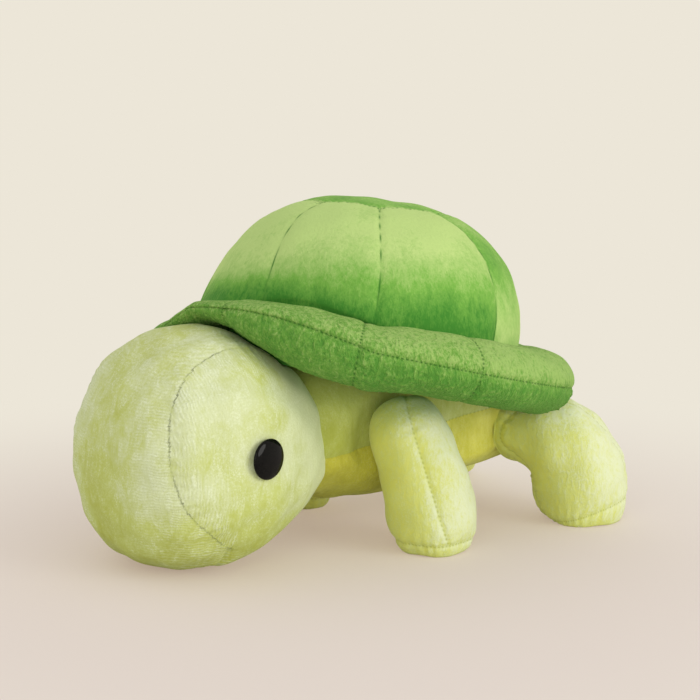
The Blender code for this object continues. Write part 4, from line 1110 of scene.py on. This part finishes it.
LIME_STOPS = ((0.1, (0.42, 0.44, 0.045)), (0.5, (0.58, 0.64, 0.21)), (0.9, (0.77, 0.83, 0.60)))
LEG_STOPS = ((0.1, (0.76, 0.76, 0.16)), (0.5, (0.69, 0.73, 0.24)), (0.9, (0.76, 0.81, 0.58)))
TRUNK_STOPS = ((0.1, (0.36, 0.39, 0.055)), (0.5, (0.50, 0.55, 0.15)), (0.9, (0.74, 0.79, 0.40)))
# Painted glint colour and darker pile colours for the shell's covers.
LEAF_GLINT = (0.42, 0.60, 0.20)
LEAF_SHADE = (0.09, 0.28, 0.04)
RIM_SHADE = (0.12, 0.32, 0.05)
HEAD_PLUSH = plush("head_plush", LIME_STOPS, (0.40, 0.48, 0.10), light_and_nap_gain=0.75, light_and_nap_start=0.5,
                   patch_size=22 * MM, patch_gain=0.9, tuft_size=1.3 * MM, tuft_contrast=0.3,
                   tuft_depth=0.3 * MM, knit=True, seam_gain=0.55, sheen=0.2)
LEG_PLUSH = plush("leg_plush", LEG_STOPS, (0.36, 0.41, 0.06), light_and_nap_gain=0.4, light_and_nap_start=0.0, patch_gain=0.55,
                  tuft_size=1.8 * MM, tuft_contrast=0.8, seam_gain=0.8, glint_gain=0.2)
TRUNK_PLUSH = plush("trunk_plush", TRUNK_STOPS, (0.36, 0.38, 0.06), light_and_nap_gain=0.6, light_and_nap_start=0.3,
                    tuft_size=2 * MM, tuft_contrast=0.25, seam_gain=0.7, glint_gain=0.15,
                    belly=((0.1, (0.40, 0.36, 0.03)), (0.5, (0.64, 0.60, 0.07)), (0.9, (0.88, 0.84, 0.22))))
DOME_PLUSH = plush("dome_plush", ((0.0, (0.045, 0.23, 0.025)), (0.4, (0.20, 0.45, 0.07)),
                                  (0.95, (0.58, 0.74, 0.27))),
                   (0.035, 0.17, 0.02), light_and_nap_gain=0.95, light_and_nap_start=0.5, tuft_size=1.6 * MM, tuft_contrast=0.5,
                   glint=LEAF_GLINT, shade=LEAF_SHADE, glint_gain=0.2, seam_gain=1.2)
RIM_PLUSH = plush("rim_plush", ((0.05, (0.06, 0.24, 0.025)), (0.5, (0.19, 0.41, 0.06)),
                                (0.95, (0.52, 0.70, 0.22))),
                  (0.03, 0.13, 0.015), light_and_nap_gain=0.26, light_and_nap_start=0.1, tuft_size=1.7 * MM,
                  tuft_contrast=1.7, tuft_depth=2 * MM, tip_size=1.2 * MM, glint=LEAF_GLINT,
                  shade=RIM_SHADE, glint_gain=0.45, seam_gain=1.2, sheen=0.3)
EYE_PLASTIC = gloss_plastic()
WASHER_PLASTIC = washer_plastic()

make_camera()
make_world()
make_floor()
for lamp_name, lamp_values in LAMPS.items():
    make_lamp(lamp_name, *lamp_values)

make_dome()
make_rim()
make_trunk()
make_head()
for eye_side, side_word in SIDES:
    make_eye(eye_side, side_word)
    for leg_end in LEGS:
        make_leg(leg_end, eye_side, side_word)
    frame["nodes"][f"eye_washer_{side_word}"].material_slots[0].material = WASHER_PLASTIC
make_tail()

bpy.context.scene.view_settings.view_transform = "Standard"
